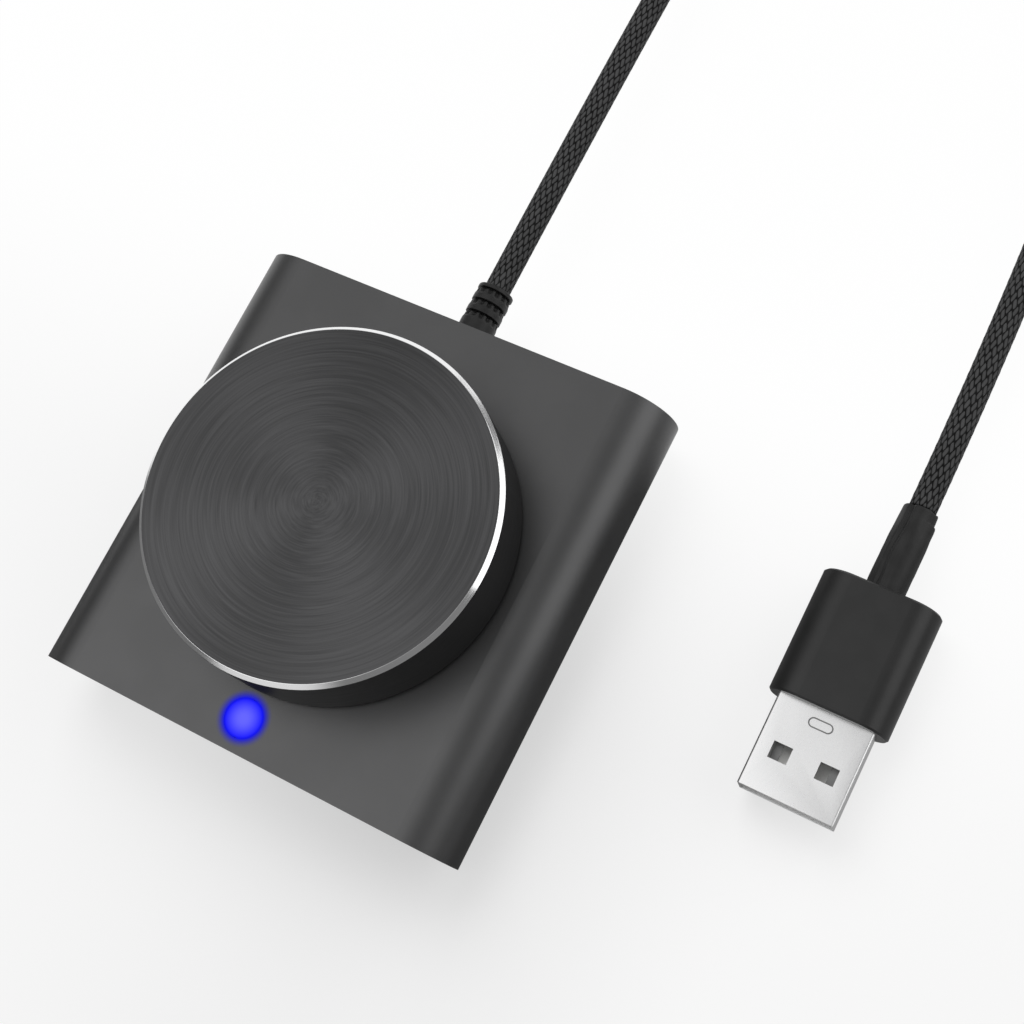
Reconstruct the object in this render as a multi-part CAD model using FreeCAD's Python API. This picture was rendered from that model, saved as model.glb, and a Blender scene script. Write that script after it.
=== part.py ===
import FreeCAD, Part
import math
import os
from FreeCAD import Rotation, Vector

# USB volume control knob. Millimetres. X runs across the housing, Y runs from its front to the cord side,
# +Z is up. The origin lies under the middle of the housing, on the surface that the rubber feet stand on.

# ---------------------------------------------------------------- housing
HOUSING_WIDTH = 60.0
HOUSING_LENGTH = 60.0
SIDE_WALL = 1.6
FLOOR_WALL = 1.6
ROOF_WALL = 1.8
PLATE_THICKNESS = 1.2
PLATE_GAP = 0.05             # all round an end plate, inside the tube's mouth
HOOK_INSET = 14.4            # hook's middle from the side wall's inner face
HOOK_WIDTH = 5.0
HOOK_LENGTH = 5.0
HOOK_THICKNESS = 1.0
HOOK_BARB_LENGTH = 1.5
HOOK_BARB_DEPTH = 0.8
HOOK_GAP = 0.15
RAIL_HEIGHT = 0.8
RAIL_DEPTH = 1.9             # how far the board's rails reach in past its edge

# ---------------------------------------------------------------- feet
FOOT_END_INSET = 9.0         # its ends from the housing's sides
FOOT_WIDTH = 6.0
FOOT_HEIGHT = 0.8
FOOT_INSET = 8.0             # its middle from the housing's end

# ---------------------------------------------------------------- board and what is on it
BOARD_THICKNESS = 1.6
BOARD_UNDER_GAP = 1.6        # board's underside above the housing's inner floor
BOARD_GAP = 0.1              # board to the rail above it
BOARD_SIDE_GAP = 0.25
BOARD_FRONT_GAP = 0.4
BOARD_BACK_GAP = 4.8
BOARD_CORNER = 1.5
CHIP_LENGTH = 9.9
CHIP_WIDTH = 3.9
CHIP_HEIGHT = 1.4
CHIP_EDGE = 0.23
CHIP_LIFT = 0.1
CHIP_INSET = 11.4            # from the board's left edge
CHIP_Y = 4.0
LEAD_COUNT = 8               # on each long side of the chip
LEAD_PITCH = 1.27
LEAD_WIDTH = 0.36
LEAD_THICKNESS = 0.15
LEAD_REACH = 1.0
LEAD_SHOULDER = 0.35         # along the lead, where it bends down
LEAD_KNEE = 0.5              # and where it meets the board
CRYSTAL_LENGTH = 11.0
CRYSTAL_WIDTH = 4.4
CRYSTAL_HEIGHT = 3.4
CRYSTAL_INSET = 9.5          # from the board's back edge
CHIP_PART_LENGTH = 1.6
CHIP_PART_WIDTH = 0.8
CHIP_PART_HEIGHT = 0.5
CHIP_PART_PITCH = 2.6
CHIP_PART_COLUMNS = 5
CHIP_PART_ROWS = 2
CHIP_PART_INSET = 5.0        # outermost column from the board's right edge
CHIP_PART_Y = -12.0

# ---------------------------------------------------------------- light
LIGHT_INSET = 3.0            # from the front plate's inner face
WINDOW_RADIUS = 2.5
WINDOW_GAP = 0.05
PIPE_RADIUS = 2.85
LAMP_SIZE = 3.5
LAMP_HEIGHT = 1.6
LAMP_GAP = 0.3

# ---------------------------------------------------------------- cord header
HEADER_WIDTH = 10.4
HEADER_LENGTH = 6.0
HEADER_HEIGHT = 5.0
HEADER_WALL = 0.8
HEADER_INSET = 3.0           # from the board's back edge
HEADER_KEY_WIDTH = 5.2
HEADER_KEY_LENGTH = 2.0
CONNECTOR_GAP = 0.1
CONNECTOR_PROUD = 1.4
INNER_LEAD_COUNT = 4
INNER_LEAD_RADIUS = 0.5
INNER_LEAD_SIDES = 6
INNER_LEAD_PITCH = 2.0       # at the connector
INNER_LEAD_BUNCH = 1.1       # at the strain relief

# ---------------------------------------------------------------- encoder
ENCODER_WIDTH = 11.5
ENCODER_LENGTH = 12.0
SWITCH_BASE_HEIGHT = 0.6
ENCODER_CASE_HEIGHT = 4.7
SWITCH_POCKET = 3.0          # half its width
SWITCH_POCKET_HEIGHT = 1.7
CASE_WEB = 0.4
CASE_HOLE_RADIUS = 2.1
ROTOR_POCKET_RADIUS = 4.8
FRAME_SHEET = 0.6
FRAME_LEG = 0.4
FRAME_LEG_WIDTH = 6.0
FRAME_TAB_WIDTH = 2.0
FRAME_TAB_PAST = 0.7         # past the board's underside
PIN_WIDTH = 0.8
PIN_THICKNESS = 0.3
PIN_STANDOFF = 0.5
PIN_RISE = 1.1
PIN_PITCH = 2.5
PIN_HOLE_GAP = 0.1
BUSHING_RADIUS = 3.5
BUSHING_LENGTH = 5.0         # above the frame's top
BUSHING_FLANGE_HEIGHT = 0.6
BUSHING_HOLE_GAP = 0.1
WASHER_RADIUS = 5.75
WASHER_THICKNESS = 0.5
NUT_SIDES = 6
NUT_FLATS = 10.0
NUT_HEIGHT = 2.0
NUT_GAP = 0.02
ROOF_TO_FRAME_GAP = 0.1

SHAFT_RADIUS = 3.0
SHAFT_RUNNING_GAP = 0.03
SHAFT_FLAT = 1.5             # D flat from the axis
JOURNAL_PAST = 0.3           # round length above the bushing, before the D begins
COLLAR_RADIUS = 3.3
COLLAR_HEIGHT = 0.5
COLLAR_GAP = 0.05
TANG_RADIUS = 1.8            # two-flat tang that turns the rotor
TANG_FLAT = 1.3
TANG_GAP = 0.05

ROTOR_RADIUS = 4.55
ROTOR_THICKNESS = 1.6
ROTOR_GAP = 0.1
ROTOR_WELL_RADIUS = 3.5
ROTOR_WELL_DEPTH = 0.65
DETENT_COUNT = 15
DETENT_DEPTH = 0.2
DETENT_RIM = 0.2             # of the rotor's top left outside the notches
DETENT_SPRING_SHEET = 0.2
DETENT_SPRING_SIDES = 8
DETENT_SPRING_INNER = 3.5
DETENT_SPRING_OUTER = 4.7    # to its corners
DETENT_NOSES = 2
DETENT_NOSE_WIDTH = 0.4      # half its width at the root
DETENT_NOSE_LENGTH = 0.6
DETENT_NOSE_EDGE = 0.15
DETENT_NOSE_GAP = 0.12       # nose above the rotor's teeth

PRESS_TRAVEL = 0.5           # how far the knob can be pushed
DOME_REACH = 2.7             # from the middle to each foot
DOME_FOOT = 0.15
DOME_CROWN = 1.5
DOME_WIDTH = 3.0
DOME_PRESSED_HEIGHT = 0.25
DOME_SHEET = 0.1
PLUNGER_FLANGE_RADIUS = 2.6
PLUNGER_FLANGE_HEIGHT = 0.45
PLUNGER_PIN_RADIUS = 1.6
PLUNGER_GAP = 0.05

# ---------------------------------------------------------------- knob
KNOB_RADIUS = 22.2
KNOB_TOP_ABOVE_ROOF = 11.2
KNOB_PRESSED_GAP = 0.25      # knob above the roof when pushed
KNOB_CHAMFER = 0.53
KNOB_SKIRT = 2.0
KNOB_CROWN = 3.2
INSERT_THICKNESS = 1.8
INSERT_GAP = 0.05
INSERT_RIBS = 6
INSERT_RIB_WIDTH = 1.2
INSERT_RIB_HEIGHT = 1.4
INSERT_RIM = 1.15            # of the disc left past each rib's end
HUB_RADIUS = 5.8
HUB_LENGTH = 2.2             # below the insert's disc
HUB_SLOT = 0.9
HUB_BORE_GAP = 0.02
SHAFT_END_GAP = 0.15
INSERT_WEB = 0.4             # of the insert's disc left over the shaft's end

# ---------------------------------------------------------------- strain relief
RELIEF_RADIUS = 2.45
RELIEF_LENGTH = 7.8
RELIEF_NECK_RADIUS = 2.0
RELIEF_NECK_GAP = 0.05
RELIEF_FLANGE_RADIUS = 3.5
RELIEF_FLANGE_THICKNESS = 1.0
RELIEF_SLOTS = 3
RELIEF_SLOT_START = 3.2
RELIEF_SLOT_PITCH = 1.75
RELIEF_SLOT_WIDTH = 0.5
RELIEF_SLOT_DEPTH = 0.6
RELIEF_RIBS = 8              # round the core, inside each slot
RELIEF_RIB_DEPTH = 0.25      # their crests below the sleeve's surface

# ---------------------------------------------------------------- plug
PLUG_X = 60.8
PLUG_FACE_Y = 5.3            # front face of the overmould
MOULD_WIDTH = 15.0
MOULD_HEIGHT = 7.6
MOULD_LENGTH = 16.1
MOULD_EDGE = 0.25
BOOT_RADIUS = 2.48
BOOT_TIP_RADIUS = 2.25
BOOT_STRAIGHT = 9.8
BOOT_LENGTH = 11.5
SHELL_WIDTH = 12.0
SHELL_HEIGHT = 4.5
SHELL_SHEET = 0.3
SHELL_OUT = 11.75
SHELL_ROOT = 3.0             # length held inside the overmould
SHELL_BEND = 0.15            # inner radius of its corners
SHELL_GAP = 0.02
LATCH_WIDTH = 2.35
LATCH_LENGTH = 2.1
LATCH_SPREAD = 5.8
LATCH_Y = 6.6                # hole centre from the overmould's face
TONGUE_HEIGHT = 1.84
TONGUE_SETBACK = 0.9         # tongue's end behind the shell's mouth
TONGUE_GAP = 0.05
CONTACT_WIDTH = 1.0
CONTACT_SHEET = 0.15
CONTACT_X = (-3.5, -1.0, 1.0, 3.5)
CONTACT_LONG = 8.4
CONTACT_SHORT = 7.4

# ---------------------------------------------------------------- cord
CORD_RADIUS = 1.75
COIL_MIDDLE_RADIUS = 22.5
COIL_COLUMNS = 3
COIL_LAYERS = 3
COIL_Y = 140.0
CORD_ARC_SHARE = 0.2         # share of the shorter run that an arc takes
CORD_FALL_Y = 89.3           # where the housing's cord starts to fall to the surface
CORD_RISE_Y = 86.7           # where the plug's cord starts to rise to the coil's top layer

# ---------------------------------------------------------------- modelling
EDGE_TOLERANCE = 0.01        # for picking the edges that lie in one plane

# ---------------------------------------------------------------- levels and places worked out from the above
FLOOR_Z = FOOT_HEIGHT
INNER_FLOOR_Z = FLOOR_Z + FLOOR_WALL
BOARD_Z = INNER_FLOOR_Z + BOARD_UNDER_GAP
BOARD_TOP_Z = BOARD_Z + BOARD_THICKNESS
ENCODER_CASE_Z = BOARD_TOP_Z + SWITCH_BASE_HEIGHT
BUSHING_FLANGE_Z = ENCODER_CASE_Z + ENCODER_CASE_HEIGHT
FRAME_Z = BUSHING_FLANGE_Z + BUSHING_FLANGE_HEIGHT
FRAME_TOP_Z = FRAME_Z + FRAME_SHEET

# The encoder's height sets the housing's: its roof lies just over the encoder's frame
INNER_ROOF_Z = FRAME_TOP_Z + ROOF_TO_FRAME_GAP
ROOF_Z = INNER_ROOF_Z + ROOF_WALL
HOUSING_HEIGHT = ROOF_Z - FLOOR_Z
MIDDLE_Z = FLOOR_Z + HOUSING_HEIGHT / 2
CAVITY_WIDTH = HOUSING_WIDTH - 2 * SIDE_WALL
CAVITY_HEIGHT = INNER_ROOF_Z - INNER_FLOOR_Z
CAVITY_MIDDLE_Z = (INNER_FLOOR_Z + INNER_ROOF_Z) / 2
HALF_LENGTH = HOUSING_LENGTH / 2
PLATE_INNER_Y = HALF_LENGTH - PLATE_THICKNESS
HOOK_X = CAVITY_WIDTH / 2 - HOOK_INSET
BOARD_FRONT_Y = -PLATE_INNER_Y + BOARD_FRONT_GAP
BOARD_BACK_Y = PLATE_INNER_Y - BOARD_BACK_GAP
HEADER_BACK_Y = BOARD_BACK_Y - HEADER_INSET
LIGHT_Y = -PLATE_INNER_Y + LIGHT_INSET
FOOT_LENGTH = HOUSING_WIDTH - 2 * FOOT_END_INSET
FOOT_Y = HALF_LENGTH - FOOT_INSET

BUSHING_TOP_Z = FRAME_TOP_Z + BUSHING_LENGTH
ROTOR_FLOOR_Z = ENCODER_CASE_Z + SWITCH_POCKET_HEIGHT + CASE_WEB
ROTOR_Z = ROTOR_FLOOR_Z + ROTOR_GAP
ROTOR_TOP_Z = ROTOR_Z + ROTOR_THICKNESS
COLLAR_TOP_Z = BUSHING_FLANGE_Z - COLLAR_GAP
COLLAR_Z = COLLAR_TOP_Z - COLLAR_HEIGHT
DOME_TOP_Z = ENCODER_CASE_Z + DOME_PRESSED_HEIGHT + PRESS_TRAVEL
PLUNGER_Z = DOME_TOP_Z + PLUNGER_GAP
PLUNGER_TOP_Z = ROTOR_FLOOR_Z + PLUNGER_GAP
SHAFT_Z = PLUNGER_TOP_Z + PLUNGER_GAP

KNOB_TOP_Z = ROOF_Z + KNOB_TOP_ABOVE_ROOF
KNOB_Z = ROOF_Z + KNOB_PRESSED_GAP + PRESS_TRAVEL
CROWN_Z = KNOB_TOP_Z - KNOB_CROWN
INSERT_Z = CROWN_Z - INSERT_THICKNESS
HUB_Z = INSERT_Z - HUB_LENGTH
SHAFT_TOP_Z = CROWN_Z - SHAFT_END_GAP - INSERT_WEB

MOULD_Z = MOULD_HEIGHT / 2
MOULD_BACK_Y = PLUG_FACE_Y + MOULD_LENGTH
BOOT_END_Y = MOULD_BACK_Y + BOOT_LENGTH
SHELL_TIP_Y = PLUG_FACE_Y - SHELL_OUT
SHELL_ROOT_Y = PLUG_FACE_Y + SHELL_ROOT
SHELL_Z = MOULD_Z - SHELL_HEIGHT / 2
RELIEF_END_Y = HALF_LENGTH + RELIEF_LENGTH
COIL_OUTER_TURN = COIL_MIDDLE_RADIUS + (COIL_COLUMNS - 1) * CORD_RADIUS
COIL_X = COIL_OUTER_TURN
COIL_TOP_LAYER_Z = (2 * COIL_LAYERS - 1) * CORD_RADIUS

# The cord's free stretches, point by point, to where each joins the coil
BODY_CORD_POINTS = [
    Vector(0, RELIEF_END_Y, MIDDLE_Z),
    Vector(0, CORD_FALL_Y, MIDDLE_Z),
    Vector(0, COIL_Y, CORD_RADIUS),
]
PLUG_CORD_POINTS = [
    Vector(PLUG_X, BOOT_END_Y, MOULD_Z),
    Vector(PLUG_X, CORD_RISE_Y, MOULD_Z),
    Vector(COIL_X + COIL_OUTER_TURN, COIL_Y, COIL_TOP_LAYER_Z),
]


# ---------------------------------------------------------------- shapes used by several pieces
def box(x0, x1, y0, y1, z0, z1):
    return Part.makeBox(x1 - x0, y1 - y0, z1 - z0, Vector(x0, y0, z0))


def post(radius, z0, z1, x=0.0, y=0.0):
    return Part.makeCylinder(radius, z1 - z0, Vector(x, y, z0))


def lathe(profile, axis=Vector(0, 0, 1), at=Vector(0, 0, 0)):
    """Turns a closed outline of (radius, height) points about an axis."""
    points = [Vector(radius, 0, height) for radius, height in profile]
    outline = Part.makePolygon(points + [points[0]])
    turned = Part.Face(outline).revolve(Vector(0, 0, 0), Vector(0, 0, 1), 360)
    turned.Placement = FreeCAD.Placement(at, Rotation(Vector(0, 0, 1), axis))
    return turned


def stadium(width, height, x, z, y0, y1):
    """A bar along Y whose section has flat top and bottom and fully round sides."""
    half_flat = (width - height) / 2
    radius = height / 2
    corners = [
        Vector(x - half_flat, y0, z - radius),
        Vector(x + half_flat, y0, z - radius),
        Vector(x + half_flat, y0, z + radius),
        Vector(x - half_flat, y0, z + radius),
    ]
    right = Vector(x + half_flat + radius, y0, z)
    left = Vector(x - half_flat - radius, y0, z)
    edges = [
        Part.LineSegment(corners[0], corners[1]).toShape(),
        Part.Arc(corners[1], right, corners[2]).toShape(),
        Part.LineSegment(corners[2], corners[3]).toShape(),
        Part.Arc(corners[3], left, corners[0]).toShape(),
    ]
    return Part.Face(Part.Wire(edges)).extrude(Vector(0, y1 - y0, 0))


def oval(length, width, height):
    """A flat plate with round ends, standing on z = 0 with its long side along X."""
    plate = stadium(length, width, 0, 0, 0, height)
    plate.rotate(Vector(0, 0, 0), Vector(1, 0, 0), 90)
    return plate


def flats(radius, flat, z0, z1):
    """A round bar with two flats, each the same distance from the axis."""
    return post(radius, z0, z1).common(box(-flat, flat, -radius, radius, z0, z1))


def d_bar(radius, flat, z0, z1):
    return post(radius, z0, z1).common(box(-radius, flat, -radius, radius, z0, z1))


def circle_point(radius, share, height=0.0):
    """The point at a share of a full turn round the Z axis."""
    turn = 2 * math.pi * share
    return Vector(radius * math.cos(turn), radius * math.sin(turn), height)


def ring_of(shape, count):
    """Copies of a shape, spread evenly about the Z axis."""
    copies = []
    for index in range(count):
        copy = shape.copy()
        copy.rotate(Vector(0, 0, 0), Vector(0, 0, 1), 360.0 * index / count)
        copies.append(copy)
    return copies


def cord_tube(points, radius, label=None):
    """A round tube along straight runs joined by tangent arcs."""
    edges = []
    radii = []
    start = points[0]
    for before, corner, after in zip(points, points[1:], points[2:]):
        way_in = (corner - before).normalize()
        way_out = (after - corner).normalize()
        half_turn = way_in.getAngle(way_out) / 2
        reach = CORD_ARC_SHARE * min((corner - before).Length, (after - corner).Length)
        arc_radius = reach / math.tan(half_turn)
        inward = (way_out - way_in).normalize()
        middle = corner + inward * (arc_radius / math.cos(half_turn) - arc_radius)
        arc_start = corner - way_in * reach
        arc_end = corner + way_out * reach
        edges.append(Part.LineSegment(start, arc_start).toShape())
        edges.append(Part.Arc(arc_start, middle, arc_end).toShape())
        start = arc_end
        radii.append(arc_radius)
    edges.append(Part.LineSegment(start, points[-1]).toShape())
    path = Part.Wire(edges)
    section = Part.Wire([Part.makeCircle(radius, points[0], points[1] - points[0])])
    tube = path.makePipeShell([section], True, True)
    if label:
        share = tube.Volume / (math.pi * radius ** 2 * path.Length)
        rounded = ", ".join("%.0f" % value for value in radii)
        print("%s: %.1f mm long, arc radii %s mm, volume share %.4f" % (label, path.Length, rounded, share))
    return tube


# ---------------------------------------------------------------- housing pieces
def housing():
    outer = stadium(HOUSING_WIDTH, HOUSING_HEIGHT, 0, MIDDLE_Z, -HALF_LENGTH, HALF_LENGTH)
    cavity = stadium(CAVITY_WIDTH, CAVITY_HEIGHT, 0, CAVITY_MIDDLE_Z, -HALF_LENGTH, HALF_LENGTH)
    rails = []
    for side in (-1, 1):
        wall_x = side * (CAVITY_WIDTH / 2 + SIDE_WALL / 2)
        rail_x = side * (board_half_width() - RAIL_DEPTH)
        for bottom in (BOARD_Z - RAIL_HEIGHT, BOARD_TOP_Z + BOARD_GAP):
            rail = box(min(rail_x, wall_x), max(rail_x, wall_x), -PLATE_INNER_Y, PLATE_INNER_Y,
                       bottom, bottom + RAIL_HEIGHT)
            rails.append(rail.common(outer))
    tube = outer.cut(cavity).fuse(rails).removeSplitter()
    cuts = [
        post(BUSHING_RADIUS + BUSHING_HOLE_GAP, INNER_ROOF_Z, ROOF_Z),
        post(WINDOW_RADIUS, INNER_ROOF_Z, ROOF_Z, 0, LIGHT_Y),
    ]
    return tube.cut(cuts + hook_windows(-1) + hook_windows(1))


def end_plate(side):
    """An end plate with two barbed hooks that snap into windows in the housing's floor."""
    plate = stadium(CAVITY_WIDTH - 2 * PLATE_GAP, CAVITY_HEIGHT - 2 * PLATE_GAP, 0, CAVITY_MIDDLE_Z,
                    -HALF_LENGTH, -PLATE_INNER_Y)
    back_y = -PLATE_INNER_Y + HOOK_LENGTH
    bottom = INNER_FLOOR_Z + PLATE_GAP
    hooks = []
    for x in (-HOOK_X, HOOK_X):
        low_x = x - HOOK_WIDTH / 2
        arm = box(low_x, low_x + HOOK_WIDTH, -PLATE_INNER_Y, back_y, bottom, bottom + HOOK_THICKNESS)
        barb_points = [
            Vector(low_x, back_y - HOOK_BARB_LENGTH, bottom), Vector(low_x, back_y, bottom),
            Vector(low_x, back_y - HOOK_BARB_LENGTH, bottom - HOOK_BARB_DEPTH),
        ]
        barb_face = Part.Face(Part.makePolygon(barb_points + [barb_points[0]]))
        hooks += [arm, barb_face.extrude(Vector(HOOK_WIDTH, 0, 0))]
    return facing(plate.fuse(hooks).removeSplitter(), side)


def facing(shape, side):
    """What is drawn at the front stays there for side -1 and goes to the back for side 1."""
    turned = shape.copy()
    if side > 0:
        turned.rotate(Vector(0, 0, 0), Vector(0, 0, 1), 180)
    return turned


def hook_windows(side):
    half_x = HOOK_WIDTH / 2 + HOOK_GAP
    back_y = -PLATE_INNER_Y + HOOK_LENGTH + HOOK_GAP
    front_y = back_y - HOOK_BARB_LENGTH - 2 * HOOK_GAP
    windows = []
    for x in (-HOOK_X, HOOK_X):
        window = box(x - half_x, x + half_x, front_y, back_y, FLOOR_Z, INNER_FLOOR_Z)
        windows.append(facing(window, side))
    return windows


def rear_plate():
    hole = Part.makeCylinder(RELIEF_NECK_RADIUS + RELIEF_NECK_GAP, PLATE_THICKNESS,
                             Vector(0, PLATE_INNER_Y, MIDDLE_Z), Vector(0, 1, 0))
    return end_plate(1).cut(hole)


def rubber_feet():
    """Two strips with round ends, stuck across the housing's underside."""
    feet = []
    for y in (-FOOT_Y, FOOT_Y):
        foot = oval(FOOT_LENGTH, FOOT_WIDTH, FOOT_HEIGHT)
        foot.translate(Vector(0, y, 0))
        feet.append(foot)
    return feet


# ---------------------------------------------------------------- board and electronics
def board_half_width():
    """The board reaches the round side wall at its lower edge, less a gap."""
    radius = CAVITY_HEIGHT / 2
    drop = CAVITY_MIDDLE_Z - BOARD_Z
    reach = math.sqrt(radius ** 2 - drop ** 2)
    return CAVITY_WIDTH / 2 - radius + reach - BOARD_SIDE_GAP


def circuit_board():
    half = board_half_width()
    board = box(-half, half, BOARD_FRONT_Y, BOARD_BACK_Y, BOARD_Z, BOARD_TOP_Z)
    upright = [edge for edge in board.Edges if abs(edge.tangentAt(edge.FirstParameter).z) > 0.9]
    board = board.makeFillet(BOARD_CORNER, upright)
    holes = []
    for x, side in pin_places():
        y = side * (ENCODER_LENGTH / 2 + PIN_STANDOFF + PIN_THICKNESS / 2)
        half_x = PIN_WIDTH / 2 + PIN_HOLE_GAP
        half_y = PIN_THICKNESS / 2 + PIN_HOLE_GAP
        holes.append(box(x - half_x, x + half_x, y - half_y, y + half_y, BOARD_Z, BOARD_TOP_Z))
    for side in (-1, 1):
        x = side * (ENCODER_WIDTH / 2 + FRAME_LEG / 2)
        half_x = FRAME_LEG / 2 + PIN_HOLE_GAP
        half_y = FRAME_TAB_WIDTH / 2 + PIN_HOLE_GAP
        holes.append(box(x - half_x, x + half_x, -half_y, half_y, BOARD_Z, BOARD_TOP_Z))
    return board.cut(holes)


def controller_chip():
    half_x = CHIP_WIDTH / 2
    half_y = CHIP_LENGTH / 2
    bottom = BOARD_TOP_Z + CHIP_LIFT
    top = bottom + CHIP_HEIGHT
    chip_x = CHIP_INSET - board_half_width()
    case = box(chip_x - half_x, chip_x + half_x, CHIP_Y - half_y, CHIP_Y + half_y, bottom, top)
    upper = [edge for edge in case.Edges if edge.CenterOfMass.z > top - EDGE_TOLERANCE]
    case = case.makeChamfer(CHIP_EDGE, upper)
    pieces = [case]
    for turn in (0, 180):
        for index in range(LEAD_COUNT):
            lead = gull_lead((index - (LEAD_COUNT - 1) / 2) * LEAD_PITCH, half_x)
            lead.rotate(Vector(0, 0, 0), Vector(0, 0, 1), turn)
            lead.translate(Vector(chip_x, CHIP_Y, BOARD_TOP_Z))
            pieces.append(lead)
    return pieces


def gull_lead(along, start):
    """One bent lead, leaving the chip's +X side halfway up and ending flat on the board."""
    rise = CHIP_LIFT + CHIP_HEIGHT / 2
    shoulder = start + LEAD_SHOULDER
    knee = start + LEAD_KNEE
    end = start + LEAD_REACH
    outline = [
        (start, rise), (shoulder, rise), (knee, LEAD_THICKNESS), (end, LEAD_THICKNESS),
        (end, 0), (knee - LEAD_THICKNESS, 0),
        (shoulder - LEAD_THICKNESS, rise - LEAD_THICKNESS), (start, rise - LEAD_THICKNESS),
    ]
    points = [Vector(x, along - LEAD_WIDTH / 2, z) for x, z in outline]
    face = Part.Face(Part.makePolygon(points + [points[0]]))
    return face.extrude(Vector(0, LEAD_WIDTH, 0))


def crystal():
    can = oval(CRYSTAL_LENGTH, CRYSTAL_WIDTH, CRYSTAL_HEIGHT)
    can.translate(Vector(CHIP_INSET - board_half_width(), BOARD_BACK_Y - CRYSTAL_INSET, BOARD_TOP_Z))
    return can


def chip_parts():
    parts = []
    for column in range(CHIP_PART_COLUMNS):
        for row in range(CHIP_PART_ROWS):
            x = board_half_width() - CHIP_PART_INSET - column * CHIP_PART_PITCH
            y = CHIP_PART_Y + row * CHIP_PART_PITCH
            parts.append(box(x - CHIP_PART_WIDTH / 2, x + CHIP_PART_WIDTH / 2, y - CHIP_PART_LENGTH / 2,
                             y + CHIP_PART_LENGTH / 2, BOARD_TOP_Z, BOARD_TOP_Z + CHIP_PART_HEIGHT))
    return parts


def lamp():
    half = LAMP_SIZE / 2
    return box(-half, half, LIGHT_Y - half, LIGHT_Y + half, BOARD_TOP_Z, BOARD_TOP_Z + LAMP_HEIGHT)


def light_pipe():
    """A clear rod over the lamp, with a shoulder under the roof and a window flush with its top."""
    foot = BOARD_TOP_Z + LAMP_HEIGHT + LAMP_GAP
    window = WINDOW_RADIUS - WINDOW_GAP
    profile = [(0, foot), (PIPE_RADIUS, foot), (PIPE_RADIUS, INNER_ROOF_Z), (window, INNER_ROOF_Z),
               (window, ROOF_Z), (0, ROOF_Z)]
    return lathe(profile, at=Vector(0, LIGHT_Y, 0))


def header_box(inset, y0, y1):
    half = HEADER_WIDTH / 2 - inset
    return box(-half, half, y0, y1, BOARD_TOP_Z + inset, BOARD_TOP_Z + HEADER_HEIGHT - inset)


def cord_header():
    front_y = HEADER_BACK_Y - HEADER_LENGTH
    body = header_box(0, front_y, HEADER_BACK_Y)
    key = box(-HEADER_KEY_WIDTH / 2, HEADER_KEY_WIDTH / 2, HEADER_BACK_Y - HEADER_KEY_LENGTH, HEADER_BACK_Y,
              BOARD_TOP_Z + HEADER_HEIGHT - HEADER_WALL, BOARD_TOP_Z + HEADER_HEIGHT)
    return body.cut([header_box(HEADER_WALL, front_y + HEADER_WALL, HEADER_BACK_Y), key])


def cord_connector():
    front_y = HEADER_BACK_Y - HEADER_LENGTH + HEADER_WALL + CONNECTOR_GAP
    return header_box(HEADER_WALL + CONNECTOR_GAP, front_y, HEADER_BACK_Y + CONNECTOR_PROUD)


def inner_leads():
    """Four leads that fan out from the strain relief's inner face to the connector."""
    start_y = PLATE_INNER_Y - RELIEF_FLANGE_THICKNESS
    end_y = HEADER_BACK_Y + CONNECTOR_PROUD
    end_z = BOARD_TOP_Z + HEADER_HEIGHT / 2
    leads = []
    for index in range(INNER_LEAD_COUNT):
        place = index - (INNER_LEAD_COUNT - 1) / 2
        start = Vector(place * INNER_LEAD_BUNCH, start_y, MIDDLE_Z)
        end = Vector(place * INNER_LEAD_PITCH, end_y, end_z)
        leads.append(Part.makeLoft([lead_section(start), lead_section(end)], True, True))
    return leads


def lead_section(centre):
    """A many-sided outline across Y, round one point."""
    points = []
    for index in range(INNER_LEAD_SIDES + 1):
        flat = circle_point(INNER_LEAD_RADIUS, index / INNER_LEAD_SIDES)
        points.append(centre + Vector(flat.x, 0, flat.y))
    return Part.makePolygon(points)


# ---------------------------------------------------------------- encoder and push switch
def pin_places():
    """Three encoder pins at the front, two switch pins at the back: (x, side)."""
    front = [(-PIN_PITCH, -1), (0.0, -1), (PIN_PITCH, -1)]
    back = [(-PIN_PITCH, 1), (PIN_PITCH, 1)]
    return front + back


def switch_base():
    half_x = ENCODER_WIDTH / 2
    half_y = ENCODER_LENGTH / 2
    return box(-half_x, half_x, -half_y, half_y, BOARD_TOP_Z, ENCODER_CASE_Z)


def encoder_case():
    half_x = ENCODER_WIDTH / 2
    half_y = ENCODER_LENGTH / 2
    case = box(-half_x, half_x, -half_y, half_y, ENCODER_CASE_Z, BUSHING_FLANGE_Z)
    return case.cut([
        box(-SWITCH_POCKET, SWITCH_POCKET, -SWITCH_POCKET, SWITCH_POCKET,
            ENCODER_CASE_Z, ENCODER_CASE_Z + SWITCH_POCKET_HEIGHT),
        post(CASE_HOLE_RADIUS, ENCODER_CASE_Z, ROTOR_FLOOR_Z),
        post(ROTOR_POCKET_RADIUS, ROTOR_FLOOR_Z, BUSHING_FLANGE_Z),
    ])


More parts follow.
